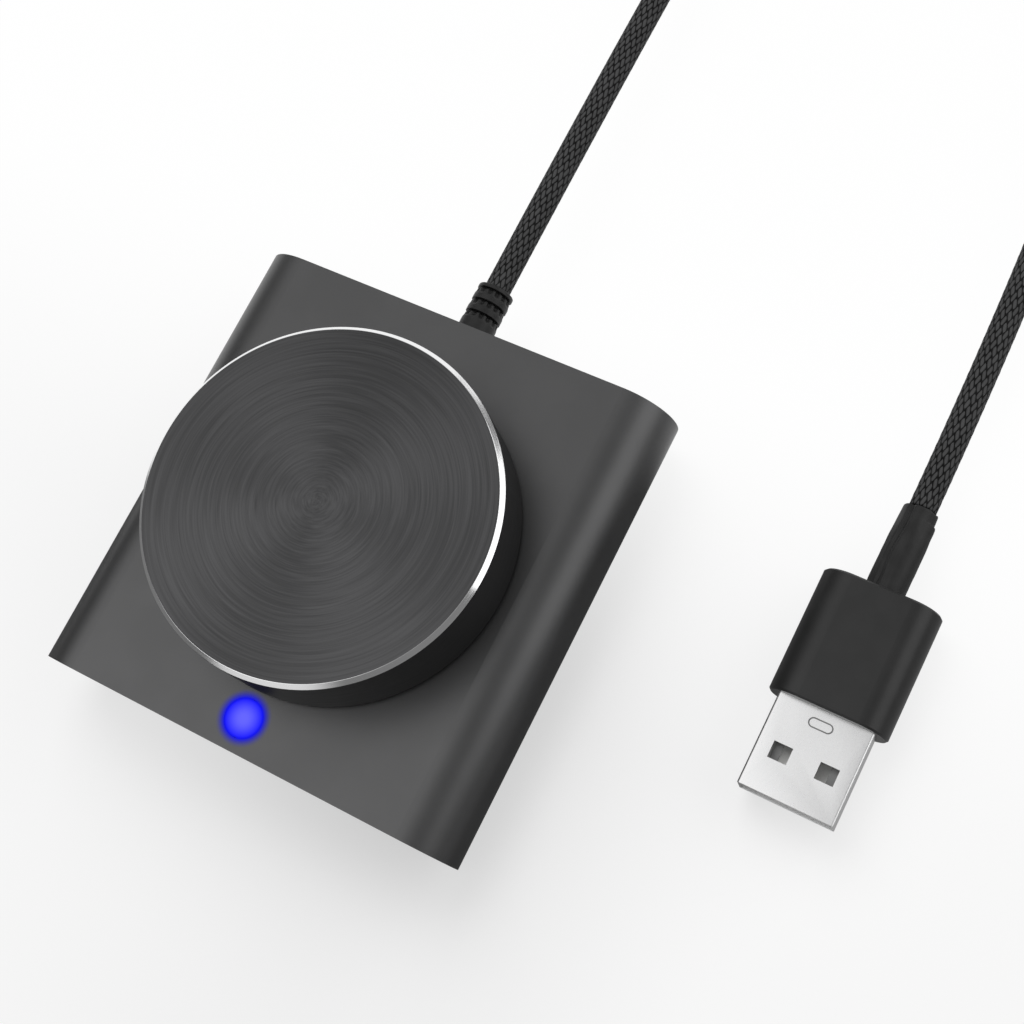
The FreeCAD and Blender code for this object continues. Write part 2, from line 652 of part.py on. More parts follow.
def encoder_frame():
    """A folded sheet over the case: a top with two legs that end in tabs through the board."""
    half_x = ENCODER_WIDTH / 2
    half_y = ENCODER_LENGTH / 2
    outer_x = half_x + FRAME_LEG
    pieces = [box(-outer_x, outer_x, -half_y, half_y, FRAME_Z, FRAME_TOP_Z)]
    for side in (-1, 1):
        low = min(side * half_x, side * outer_x)
        high = max(side * half_x, side * outer_x)
        pieces.append(box(low, high, -FRAME_LEG_WIDTH / 2, FRAME_LEG_WIDTH / 2, BOARD_TOP_Z, FRAME_Z))
        pieces.append(box(low, high, -FRAME_TAB_WIDTH / 2, FRAME_TAB_WIDTH / 2,
                          BOARD_Z - FRAME_TAB_PAST, BOARD_TOP_Z))
    frame = pieces[0].fuse(pieces[1:]).removeSplitter()
    return frame.cut(post(BUSHING_RADIUS, FRAME_Z, FRAME_TOP_Z))


def encoder_pins():
    pins = []
    for x, side in pin_places():
        face_y = side * ENCODER_LENGTH / 2
        inner_y = side * (ENCODER_LENGTH / 2 + PIN_STANDOFF)
        outer_y = side * (ENCODER_LENGTH / 2 + PIN_STANDOFF + PIN_THICKNESS)
        top = BOARD_TOP_Z + PIN_RISE
        leg = box(x - PIN_WIDTH / 2, x + PIN_WIDTH / 2, min(inner_y, outer_y), max(inner_y, outer_y),
                  BOARD_Z - FRAME_TAB_PAST, top)
        arm = box(x - PIN_WIDTH / 2, x + PIN_WIDTH / 2, min(face_y, inner_y), max(face_y, inner_y),
                  top - PIN_THICKNESS, top)
        pins.append(leg.fuse(arm).removeSplitter())
    return pins


def encoder_bushing():
    """A square flange that closes the case, with a barrel that rises through the frame and the roof."""
    half_x = ENCODER_WIDTH / 2
    half_y = ENCODER_LENGTH / 2
    flange = box(-half_x, half_x, -half_y, half_y, BUSHING_FLANGE_Z, FRAME_Z)
    barrel = post(BUSHING_RADIUS, FRAME_Z, BUSHING_TOP_Z)
    return flange.fuse(barrel).cut(post(SHAFT_RADIUS + SHAFT_RUNNING_GAP, BUSHING_FLANGE_Z, BUSHING_TOP_Z))


def bushing_washer():
    washer = post(WASHER_RADIUS, ROOF_Z, ROOF_Z + WASHER_THICKNESS)
    return washer.cut(post(BUSHING_RADIUS + BUSHING_HOLE_GAP, ROOF_Z, ROOF_Z + WASHER_THICKNESS))


def bushing_nut():
    bottom = ROOF_Z + WASHER_THICKNESS
    corner = NUT_FLATS / 2 / math.cos(math.pi / NUT_SIDES)
    points = [circle_point(corner, index / NUT_SIDES, bottom) for index in range(NUT_SIDES + 1)]
    blank = Part.Face(Part.makePolygon(points)).extrude(Vector(0, 0, NUT_HEIGHT))
    return blank.cut(post(BUSHING_RADIUS + NUT_GAP, bottom, bottom + NUT_HEIGHT))


def detent_spring():
    """A many-sided spring under the bushing's flange, with noses folded down towards the rotor's teeth."""
    bottom = BUSHING_FLANGE_Z - DETENT_SPRING_SHEET
    points = []
    for index in range(DETENT_SPRING_SIDES + 1):
        points.append(circle_point(DETENT_SPRING_OUTER, (index + 0.5) / DETENT_SPRING_SIDES, bottom))
    plate = Part.Face(Part.makePolygon(points)).extrude(Vector(0, 0, DETENT_SPRING_SHEET))
    plate = plate.cut(post(DETENT_SPRING_INNER, bottom, BUSHING_FLANGE_Z))
    nose_z = ROTOR_TOP_Z + DETENT_NOSE_GAP
    nose_points = [
        Vector(0, -DETENT_NOSE_WIDTH, bottom), Vector(0, DETENT_NOSE_WIDTH, bottom), Vector(0, 0, nose_z),
    ]
    nose_face = Part.Face(Part.makePolygon(nose_points + [nose_points[0]]))
    nose = nose_face.extrude(Vector(DETENT_NOSE_LENGTH, 0, 0))
    nose.translate(Vector(DETENT_SPRING_INNER + DETENT_NOSE_EDGE, 0, 0))
    return plate.fuse(ring_of(nose, DETENT_NOSES))


def switch_dome():
    """A thin snap blade, bent into an arch that stands on the switch's base."""
    inner_foot = DOME_REACH - DOME_FOOT
    inner_crown = DOME_CROWN - DOME_SHEET / 2
    outline = [
        (-DOME_REACH, ENCODER_CASE_Z), (-DOME_CROWN, DOME_TOP_Z), (DOME_CROWN, DOME_TOP_Z),
        (DOME_REACH, ENCODER_CASE_Z), (inner_foot, ENCODER_CASE_Z), (inner_crown, DOME_TOP_Z - DOME_SHEET),
        (-inner_crown, DOME_TOP_Z - DOME_SHEET), (-inner_foot, ENCODER_CASE_Z),
    ]
    points = [Vector(x, -DOME_WIDTH / 2, z) for x, z in outline]
    return Part.Face(Part.makePolygon(points + [points[0]])).extrude(Vector(0, DOME_WIDTH, 0))


def switch_plunger():
    flange = post(PLUNGER_FLANGE_RADIUS, PLUNGER_Z, PLUNGER_Z + PLUNGER_FLANGE_HEIGHT)
    return flange.fuse(post(PLUNGER_PIN_RADIUS, PLUNGER_Z, PLUNGER_TOP_Z)).removeSplitter()


def encoder_rotor():
    body = post(ROTOR_RADIUS, ROTOR_Z, ROTOR_TOP_Z)
    well = post(ROTOR_WELL_RADIUS, ROTOR_TOP_Z - ROTOR_WELL_DEPTH, ROTOR_TOP_Z)
    tang_hole = flats(TANG_RADIUS + TANG_GAP, TANG_FLAT + TANG_GAP, ROTOR_Z, ROTOR_TOP_Z)
    inner = ROTOR_WELL_RADIUS - DETENT_DEPTH
    notch_points = [
        Vector(inner, -DETENT_DEPTH, ROTOR_TOP_Z), Vector(inner, DETENT_DEPTH, ROTOR_TOP_Z),
        Vector(inner, 0, ROTOR_TOP_Z - DETENT_DEPTH),
    ]
    notch_face = Part.Face(Part.makePolygon(notch_points + [notch_points[0]]))
    notch = notch_face.extrude(Vector(ROTOR_RADIUS - DETENT_RIM - inner, 0, 0))
    return body.cut([well, tang_hole] + ring_of(notch, DETENT_COUNT))


def encoder_shaft():
    tang = flats(TANG_RADIUS, TANG_FLAT, SHAFT_Z, COLLAR_Z)
    collar = post(COLLAR_RADIUS, COLLAR_Z, COLLAR_TOP_Z)
    journal = post(SHAFT_RADIUS, COLLAR_TOP_Z, BUSHING_TOP_Z + JOURNAL_PAST)
    end = d_bar(SHAFT_RADIUS, SHAFT_FLAT, BUSHING_TOP_Z + JOURNAL_PAST, SHAFT_TOP_Z)
    return tang.fuse([collar, journal, end]).removeSplitter()


# ---------------------------------------------------------------- knob pieces
def knob_cap():
    """A turned cup with a cut chamfer round its top edge."""
    inner = KNOB_RADIUS - KNOB_SKIRT
    return lathe([
        (0, KNOB_TOP_Z), (KNOB_RADIUS - KNOB_CHAMFER, KNOB_TOP_Z), (KNOB_RADIUS, KNOB_TOP_Z - KNOB_CHAMFER),
        (KNOB_RADIUS, KNOB_Z), (inner, KNOB_Z), (inner, CROWN_Z), (0, CROWN_Z),
    ])


def knob_insert():
    """A ribbed disc pressed in under the knob's crown, whose split hub grips the shaft's D."""
    rim_radius = KNOB_RADIUS - KNOB_SKIRT - INSERT_GAP
    disc = post(rim_radius, INSERT_Z, CROWN_Z)
    rib = box(0, rim_radius - INSERT_RIM, -INSERT_RIB_WIDTH / 2, INSERT_RIB_WIDTH / 2,
              INSERT_Z - INSERT_RIB_HEIGHT, INSERT_Z)
    hub = post(HUB_RADIUS, HUB_Z, INSERT_Z)
    insert = disc.fuse([hub] + ring_of(rib, INSERT_RIBS)).removeSplitter()
    slot = box(-HUB_RADIUS, HUB_RADIUS, -HUB_SLOT / 2, HUB_SLOT / 2, HUB_Z, INSERT_Z)
    slot.rotate(Vector(0, 0, 0), Vector(0, 0, 1), 180.0 / INSERT_RIBS)
    bore = d_bar(SHAFT_RADIUS + HUB_BORE_GAP, SHAFT_FLAT + HUB_BORE_GAP, HUB_Z, SHAFT_TOP_Z + SHAFT_END_GAP)
    return insert.cut([bore, slot])


# ---------------------------------------------------------------- strain relief, plug and cord
def strain_relief():
    """A rubber sleeve, necked through the rear plate, with a flange inside and slots over a star-shaped core."""
    neck_z = -PLATE_THICKNESS
    flange_z = neck_z - RELIEF_FLANGE_THICKNESS
    sleeve = lathe([
        (0, flange_z), (RELIEF_FLANGE_RADIUS, flange_z), (RELIEF_FLANGE_RADIUS, neck_z),
        (RELIEF_NECK_RADIUS, neck_z), (RELIEF_NECK_RADIUS, 0), (RELIEF_RADIUS, 0),
        (RELIEF_RADIUS, RELIEF_LENGTH), (0, RELIEF_LENGTH),
    ])
    slots = []
    for index in range(RELIEF_SLOTS):
        start = RELIEF_SLOT_START + index * RELIEF_SLOT_PITCH
        blank = post(RELIEF_RADIUS, start, start + RELIEF_SLOT_WIDTH)
        slots.append(blank.cut(relief_core(start)))
    sleeve = sleeve.cut(slots)
    sleeve.rotate(Vector(0, 0, 0), Vector(1, 0, 0), -90)
    sleeve.translate(Vector(0, HALF_LENGTH, MIDDLE_Z))
    return sleeve


def relief_core(start):
    """The core seen in one slot: ribs round it, each a tooth of a star."""
    points = []
    for index in range(2 * RELIEF_RIBS + 1):
        radius = RELIEF_RADIUS - (RELIEF_SLOT_DEPTH if index % 2 else RELIEF_RIB_DEPTH)
        points.append(circle_point(radius, index / (2 * RELIEF_RIBS), start))
    return Part.Face(Part.makePolygon(points)).extrude(Vector(0, 0, RELIEF_SLOT_WIDTH))


def plug_boot():
    profile = [(0, 0), (BOOT_RADIUS, 0), (BOOT_RADIUS, BOOT_STRAIGHT), (BOOT_TIP_RADIUS, BOOT_STRAIGHT),
               (BOOT_TIP_RADIUS, BOOT_LENGTH), (0, BOOT_LENGTH)]
    return lathe(profile, Vector(0, 1, 0), Vector(PLUG_X, MOULD_BACK_Y, MOULD_Z))


def plug_overmould():
    block = stadium(MOULD_WIDTH, MOULD_HEIGHT, PLUG_X, MOULD_Z, PLUG_FACE_Y, MOULD_BACK_Y)
    rims = [edge for edge in block.Edges if abs(edge.BoundBox.YLength) < EDGE_TOLERANCE]
    block = block.makeChamfer(MOULD_EDGE, rims)
    return block.cut(shell_block(SHELL_GAP, PLUG_FACE_Y, SHELL_ROOT_Y + SHELL_GAP))


def shell_block(grow, y0, y1):
    """The outline of the plug's shell as a solid bar, grown or shrunk all round."""
    half = SHELL_WIDTH / 2 + grow
    bar = box(PLUG_X - half, PLUG_X + half, y0, y1, SHELL_Z - grow, SHELL_Z + SHELL_HEIGHT + grow)
    along = [edge for edge in bar.Edges if abs(edge.tangentAt(edge.FirstParameter).y) > 0.9]
    return bar.makeFillet(SHELL_BEND + SHELL_SHEET + grow, along)


def plug_shell():
    """A folded sheet tube with two latch holes in each broad side."""
    tube = shell_block(0, SHELL_TIP_Y, SHELL_ROOT_Y).cut(shell_block(-SHELL_SHEET, SHELL_TIP_Y, SHELL_ROOT_Y))
    latch_y = PLUG_FACE_Y - LATCH_Y
    cuts = []
    for side in (-1, 1):
        x = PLUG_X + side * LATCH_SPREAD / 2
        cuts.append(box(x - LATCH_WIDTH / 2, x + LATCH_WIDTH / 2, latch_y - LATCH_LENGTH / 2,
                        latch_y + LATCH_LENGTH / 2, SHELL_Z, SHELL_Z + SHELL_HEIGHT))
    return tube.cut(cuts)


def plug_tongue():
    half = SHELL_WIDTH / 2 - SHELL_SHEET - TONGUE_GAP
    bottom = SHELL_Z + SHELL_SHEET + TONGUE_GAP
    return box(PLUG_X - half, PLUG_X + half, SHELL_TIP_Y + TONGUE_SETBACK, SHELL_ROOT_Y,
               bottom, bottom + TONGUE_HEIGHT)


def plug_contacts():
    bottom = SHELL_Z + SHELL_SHEET + TONGUE_GAP + TONGUE_HEIGHT
    contacts = []
    for place in CONTACT_X:
        length = CONTACT_LONG if abs(place) == max(CONTACT_X) else CONTACT_SHORT
        x = PLUG_X + place
        contacts.append(box(x - CONTACT_WIDTH / 2, x + CONTACT_WIDTH / 2, PLUG_FACE_Y - length,
                            SHELL_ROOT_Y, bottom, bottom + CONTACT_SHEET))
    return contacts


def cord_coil():
    """The outer shape of the coiled cord: a ring of square section."""
    half = COIL_COLUMNS * CORD_RADIUS
    height = 2 * COIL_LAYERS * CORD_RADIUS
    ring = post(COIL_MIDDLE_RADIUS + half, 0, height, COIL_X, COIL_Y)
    return ring.cut(post(COIL_MIDDLE_RADIUS - half, 0, height, COIL_X, COIL_Y))


def build():
    return {
        "housing": housing(),
        "front_plate": end_plate(-1),
        "rear_plate": rear_plate(),
        "rubber_feet": rubber_feet(),
        "circuit_board": circuit_board(),
        "controller_chip": controller_chip(),
        "crystal": crystal(),
        "chip_parts": chip_parts(),
        "lamp": lamp(),
        "light_pipe": light_pipe(),
        "cord_header": cord_header(),
        "cord_connector": cord_connector(),
        "inner_leads": inner_leads(),
        "switch_base": switch_base(),
        "switch_dome": switch_dome(),
        "switch_plunger": switch_plunger(),
        "encoder_case": encoder_case(),
        "encoder_frame": encoder_frame(),
        "encoder_pins": encoder_pins(),
        "encoder_bushing": encoder_bushing(),
        "encoder_rotor": encoder_rotor(),
        "encoder_shaft": encoder_shaft(),
        "detent_spring": detent_spring(),
        "bushing_washer": bushing_washer(),
        "bushing_nut": bushing_nut(),
        "knob_cap": knob_cap(),
        "knob_insert": knob_insert(),
        "strain_relief": strain_relief(),
        "cord_body_run": cord_tube(BODY_CORD_POINTS, CORD_RADIUS, "cord_body_run"),
        "cord_coil": cord_coil(),
        "cord_plug_run": cord_tube(PLUG_CORD_POINTS, CORD_RADIUS, "cord_plug_run"),
        "plug_boot": plug_boot(),
        "plug_overmould": plug_overmould(),
        "plug_shell": plug_shell(),
        "plug_tongue": plug_tongue(),
        "plug_contacts": plug_contacts(),
    }


os.makedirs("parts", exist_ok=True)
for node, shape in build().items():
    if isinstance(shape, list):
        shape = Part.makeCompound(shape)
    shape.exportStep("parts/%s.step" % node)
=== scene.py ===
import math

import bmesh
import bpy
from mathutils import Matrix, Vector, noise


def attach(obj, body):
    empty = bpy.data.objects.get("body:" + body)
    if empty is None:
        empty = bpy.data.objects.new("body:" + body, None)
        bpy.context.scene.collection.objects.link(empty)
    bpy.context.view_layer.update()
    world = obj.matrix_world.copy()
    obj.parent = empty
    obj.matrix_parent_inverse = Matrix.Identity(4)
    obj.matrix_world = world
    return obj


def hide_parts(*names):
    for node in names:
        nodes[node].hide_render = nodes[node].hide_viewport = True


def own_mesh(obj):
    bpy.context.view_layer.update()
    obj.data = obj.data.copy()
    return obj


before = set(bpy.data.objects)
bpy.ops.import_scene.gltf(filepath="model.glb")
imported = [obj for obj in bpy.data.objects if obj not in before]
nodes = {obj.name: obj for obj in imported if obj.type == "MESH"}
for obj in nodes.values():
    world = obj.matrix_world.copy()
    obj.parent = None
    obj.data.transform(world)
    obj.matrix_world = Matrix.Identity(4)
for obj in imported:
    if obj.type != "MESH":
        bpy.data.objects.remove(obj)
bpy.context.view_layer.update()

# USB volume control knob, dressed. X is right, Y runs from the front to the cord's side and Z is up.
# Lengths are millimetres and become metres through MM, unless a comment says that they are metres.
MM = 0.001
scene = bpy.context.scene
scene.view_settings.view_transform = "Standard"


def mm(x, y, z):
    return Vector((x, y, z)) * MM


def smooth(low, high, x):
    """0 below low, 1 above high, and a soft rise between them."""
    t = min(1.0, max(0.0, (x - low) / (high - low)))
    return t * t * (3 - 2 * t)


def link(obj):
    scene.collection.objects.link(obj)
    return obj


# ---------------------------------------------------------------- camera
CAMERA_AT = (78.08, -26.80, 194.05)
CAMERA_RIGHT = (0.8703, 0.4513, -0.1971)
CAMERA_UP = (-0.3823, 0.8715, 0.3073)
CAMERA_BACK = (0.3105, -0.1921, 0.9310)

camera_data = bpy.data.cameras.new("camera")
camera_data.sensor_width = 36.0
camera_data.lens = 56.6
camera_data.clip_start = 0.005      # metres
camera_data.clip_end = 50.0         # metres
camera = link(bpy.data.objects.new("camera", camera_data))
turned = Matrix((CAMERA_RIGHT, CAMERA_UP, CAMERA_BACK)).transposed().to_4x4()
camera.matrix_world = Matrix.Translation(mm(*CAMERA_AT)) @ turned
scene.camera = camera


# ---------------------------------------------------------------- material helpers
class Graph:
    """Builds the nodes of a material or of the world. Textures find their place in millimetres."""

    def __init__(self, name, tree=None):
        if tree is None:
            self.material = bpy.data.materials.new(name)
            self.material.use_nodes = True
            tree = self.material.node_tree
        self.tree = tree
        tree.nodes.clear()
        self.place = None

    def add(self, kind, inputs=None, **settings):
        node = self.tree.nodes.new("ShaderNode" + kind)
        for key, value in settings.items():
            setattr(node, key, value)
        for key, value in (inputs or {}).items():
            self.put(node.inputs[key], value)
        return node

    def put(self, socket, value):
        """Links a node's or a socket's output to the socket, or sets a plain value on it."""
        if isinstance(value, bpy.types.Node):
            value = value.outputs[0]
        if isinstance(value, bpy.types.NodeSocket):
            self.tree.links.new(value, socket)
        else:
            socket.default_value = value

    def math(self, operation, a, b=0.0, c=0.0, clamp=False):
        return self.add("Math", {0: a, 1: b, 2: c}, operation=operation, use_clamp=clamp).outputs[0]

    def hypotenuse(self, a, b):
        squares = self.math("ADD", self.math("MULTIPLY", a, a), self.math("MULTIPLY", b, b))
        return self.math("SQRT", squares)

    def ramp(self, value, low, high, to_low=0.0, to_high=1.0):
        return self.add("MapRange", {"Value": value, "From Min": low, "From Max": high,
                                     "To Min": to_low, "To Max": to_high},
                        interpolation_type="SMOOTHSTEP").outputs[0]

    def blend(self, share, a, b):
        """Colour b by the share, over colour a."""
        node = self.add("Mix", data_type="RGBA")
        self.put(node.inputs[0], share)
        self.put(node.inputs[6], a)
        self.put(node.inputs[7], b)
        return node.outputs[2]

    def position(self):
        if self.place is None:
            metres = self.add("TexCoord").outputs["Object"]
            self.place = self.add("VectorMath", {0: metres, "Scale": 1 / MM}, operation="SCALE").outputs[0]
        return self.place

    def split(self, vector):
        return self.add("SeparateXYZ", {0: vector}).outputs

    def join(self, x, y, z):
        return self.add("CombineXYZ", {0: x, 1: y, 2: z}).outputs[0]

    def stretched(self, x, y, z):
        """The place with a factor for each axis. A texture gets finer along an axis with a large one."""
        return self.add("VectorMath", {0: self.position(), 1: (x, y, z)}, operation="MULTIPLY").outputs[0]

    def noise(self, scale, detail=2.0, roughness=0.5, vector=None):
        place = vector or self.position()
        inputs = {"Vector": place, "Scale": scale, "Detail": detail, "Roughness": roughness}
        return self.add("TexNoise", inputs).outputs[0]

    def bump(self, height, depth, strength=1.0):
        return self.add("Bump", {"Height": height, "Distance": depth * MM, "Strength": strength}).outputs[0]

    def surface(self, shader):
        out = self.add("OutputMaterial")
        self.put(out.inputs["Surface"], shader)

    def principled(self, **values):
        names = {key: key.replace("_", " ").title() for key in values}
        names.update(specular="Specular IOR Level", emission="Emission Color")
        return self.add("BsdfPrincipled", {names[key]: value for key, value in values.items()})


def grey(level):
    return (level, level, level, 1.0)


def rgb(r, g, b):
    return (r, g, b, 1.0)


# ---------------------------------------------------------------- sizes shared with the finishes
ROOF_Z = 14.0
LAMP_AT = (0.0, -25.8)              # X and Y of the lamp window's axis
LAMP_RADIUS = 2.45
PLUG_X = 60.8
PLUG_Z = 3.8
SHELL_HEIGHT = 4.5
OVAL_AT = 3.55                      # middle of the shell's pressed oval, along Y
OVAL = (2.9, 1.1)                   # its length and width
OVAL_DEPTH = 0.12
OVAL_FLOOR = PLUG_Z + SHELL_HEIGHT / 2 - OVAL_DEPTH


# ---------------------------------------------------------------- materials
def surface_finish(name, color, metallic, roughness, grain, grain_depth, stretch, variation):
    """A finish with fine grain for its bump, broad clouds for its colour, and uneven gloss."""
    cloud_scale = 0.25
    gloss_spread = 0.06
    g = Graph(name)
    fine = g.noise(grain, 3.0, 0.6, g.stretched(*stretch))
    broad = g.noise(cloud_scale, 2.0)
    level = g.math("ADD", g.math("MULTIPLY", fine, 0.6), g.math("MULTIPLY", broad, 0.4))
    dark = rgb(*(c * (1 - variation) for c in color))
    light = rgb(*(min(1.0, c * (1 + variation)) for c in color))
    base = g.blend(g.ramp(level, 0.3, 0.7), dark, light)
    rough = g.ramp(level, 0.3, 0.7, roughness - gloss_spread, roughness + gloss_spread)
    g.surface(g.principled(base_color=base, metallic=metallic, roughness=rough,
                           normal=g.bump(fine, grain_depth)))
    return g.material


def lamp_distance(g):
    """How far a point is from the lamp window's axis, and its height."""
    x, y, z = g.split(g.position())
    return g.hypotenuse(g.math("SUBTRACT", x, LAMP_AT[0]), g.math("SUBTRACT", y, LAMP_AT[1])), z


def dimmed_in_bounces(g, glow):
    """The lamp's colour, cut down where light bounces on, so that it stays a dim indicator."""
    rays = g.add("LightPath").outputs
    bounced = g.math("MAXIMUM", rays["Is Glossy Ray"], rays["Is Diffuse Ray"])
    return g.blend(g.math("MULTIPLY", bounced, 0.95), glow, grey(0.0))


def housing_finish():
    """Satin blasted anodising, with a painted blue glow of the lamp over the rim of its window."""
    g = Graph("dark_anodised")
    blast = g.noise(14.0, 2.0, 0.6)
    cloud = g.noise(0.12, 3.0)
    base = g.blend(g.ramp(cloud, 0.35, 0.65), rgb(0.101, 0.101, 0.102), rgb(0.107, 0.107, 0.108))
    rough = g.ramp(blast, 0.3, 0.7, 0.36, 0.44)
    away, z = lamp_distance(g)
    # Painted glow: round the lamp's window the housing's colour is blackened and blue emission is painted
    # in, standing for the lamp's light on the rim.
    glow = g.math("MULTIPLY", g.ramp(away, LAMP_RADIUS - 0.15, LAMP_RADIUS + 1.2, 1.0, 0.0),
                  g.ramp(z, ROOF_Z - 0.9, ROOF_Z - 0.6))
    level = g.math("MULTIPLY", glow, g.math("MULTIPLY_ADD", g.math("POWER", glow, 3.0), 0.36, 0.44))
    blue = g.blend(level, grey(0.0), rgb(0.004, 0.006, 1.0))
    g.surface(g.principled(base_color=g.blend(glow, base, grey(0.001)), metallic=0.9, roughness=rough,
                           emission=dimmed_in_bounces(g, blue), emission_strength=1.0,
                           normal=g.bump(blast, 0.0015)))
    g.material.cycles.emission_sampling = "NONE"
    return g.material


def window_finish():
    """The lamp's clear rod, brightest and palest in its middle."""
    middle, ring, rim = rgb(0.132, 0.132, 1.0), rgb(0.002, 0.003, 1.0), rgb(0.004, 0.006, 0.76)
    g = Graph("window_blue")
    away, _ = lamp_distance(g)
    speck = g.noise(6.0, 2.0)
    reach = g.math("ADD", away, g.math("MULTIPLY", speck, 0.1))
    glow = g.blend(g.ramp(reach, 0.3, LAMP_RADIUS + 0.35, 1.0, 0.0), ring, middle)
    glow = g.blend(g.ramp(reach, LAMP_RADIUS - 0.3, LAMP_RADIUS + 0.2), glow, rim)
    g.surface(g.principled(base_color=rgb(0.001, 0.001, 0.01), roughness=0.5, specular=0.05,
                           emission=dimmed_in_bounces(g, glow), emission_strength=1.0,
                           normal=g.bump(speck, 0.004)))
    g.material.cycles.emission_sampling = "NONE"
    return g.material


def polar(g):
    """Distance from the knob's axis, the two parts of the direction from it, and height."""
    x, y, z = g.split(g.position())
    radius = g.hypotenuse(x, y)
    safe = g.math("MAXIMUM", radius, 0.01)
    return radius, g.math("DIVIDE", x, safe), g.math("DIVIDE", y, safe), z


def turned_lines(g, measure, cosine, sine, per_mm, breaks, detail, roughness=0.6):
    """Lines that run round the knob's axis, side by side along the measure and broken up on their way."""
    place = g.join(g.math("MULTIPLY", measure, per_mm), g.math("MULTIPLY", cosine, breaks),
                   g.math("MULTIPLY", sine, breaks))
    return g.noise(1.0, detail, roughness, place)


# Painted sheen: pale and dark blades painted into the knob top's colour round its axis, standing for the
# spun metal's reflections.
PAINTED_SHEEN_AT = math.radians(48.0)         # the middle of one of the sheen's pale blades
PAINTED_SHEEN_BLADES = 4
PAINTED_SHEEN_CONTRAST = 0.13


def spun_finish():
    """Spun aluminium: fine broken rings round the axis, and a painted sheen in pale and dark blades round
    it.
    """
    g = Graph("spun_top")
    radius, cosine, sine, _ = polar(g)
    fine = turned_lines(g, radius, cosine, sine, 4.6, 1.6, 1.0)
    coarse = turned_lines(g, radius, cosine, sine, 1.4, 1.0, 2.0)
    level = g.math("ADD", g.math("MULTIPLY", fine, 0.8), g.math("MULTIPLY", coarse, 0.2))
    # Painted sheen: the base colour is made lighter and darker in blades round the axis.
    turn = g.math("SUBTRACT", g.math("ARCTAN2", sine, cosine), PAINTED_SHEEN_AT)
    painted_sheen = g.math("MULTIPLY", g.math("COSINE", g.math("MULTIPLY", turn, PAINTED_SHEEN_BLADES)), PAINTED_SHEEN_CONTRAST)
    level = g.math("ADD", level, g.math("MULTIPLY", painted_sheen, g.ramp(radius, 0.5, 7.0)))
    base = g.blend(g.ramp(level, 0.15, 0.85), rgb(0.052, 0.052, 0.053), rgb(0.086, 0.086, 0.088))
    g.surface(g.principled(base_color=base, metallic=0.9, roughness=g.ramp(coarse, 0.3, 0.7, 0.31, 0.37),
                           anisotropic=0.75, tangent=g.add("Tangent", direction_type="RADIAL", axis="Z"),
                           normal=g.bump(fine, 0.004)))
    return g.material


def chamfer_finish():
    """A diamond-cut edge: bare bright metal with very fine turning lines."""
    g = Graph("bright_cut")
    _, cosine, sine, z = polar(g)
    lines = turned_lines(g, z, cosine, sine, 16.0, 3.0, 2.0, 0.5)
    base = g.blend(lines, rgb(0.86, 0.86, 0.87), rgb(0.95, 0.95, 0.95))
    g.surface(g.principled(base_color=base, metallic=1.0, roughness=g.ramp(lines, 0.3, 0.7, 0.10, 0.17),
                           normal=g.bump(lines, 0.0012)))
    return g.material


def knob_side_finish():
    """The knob's dark side, with faint turning lines round it."""
    g = Graph("spun_side")
    _, cosine, sine, z = polar(g)
    lines = turned_lines(g, z, cosine, sine, 9.0, 4.0, 3.0)
    base = g.blend(g.ramp(lines, 0.3, 0.7), rgb(0.036, 0.036, 0.037), rgb(0.048, 0.048, 0.049))
    g.surface(g.principled(base_color=base, metallic=0.85, roughness=g.ramp(lines, 0.3, 0.7, 0.36, 0.46),
                           normal=g.bump(lines, 0.003)))
    return g.material


LEAF_REACH = 0.53                   # half a braid leaf's length, in cells
LEAF_HALF_WIDTH = 0.33              # at its middle, in cells
LEAF_LEAN = 0.35
LEAF_FIBRES = 44.0


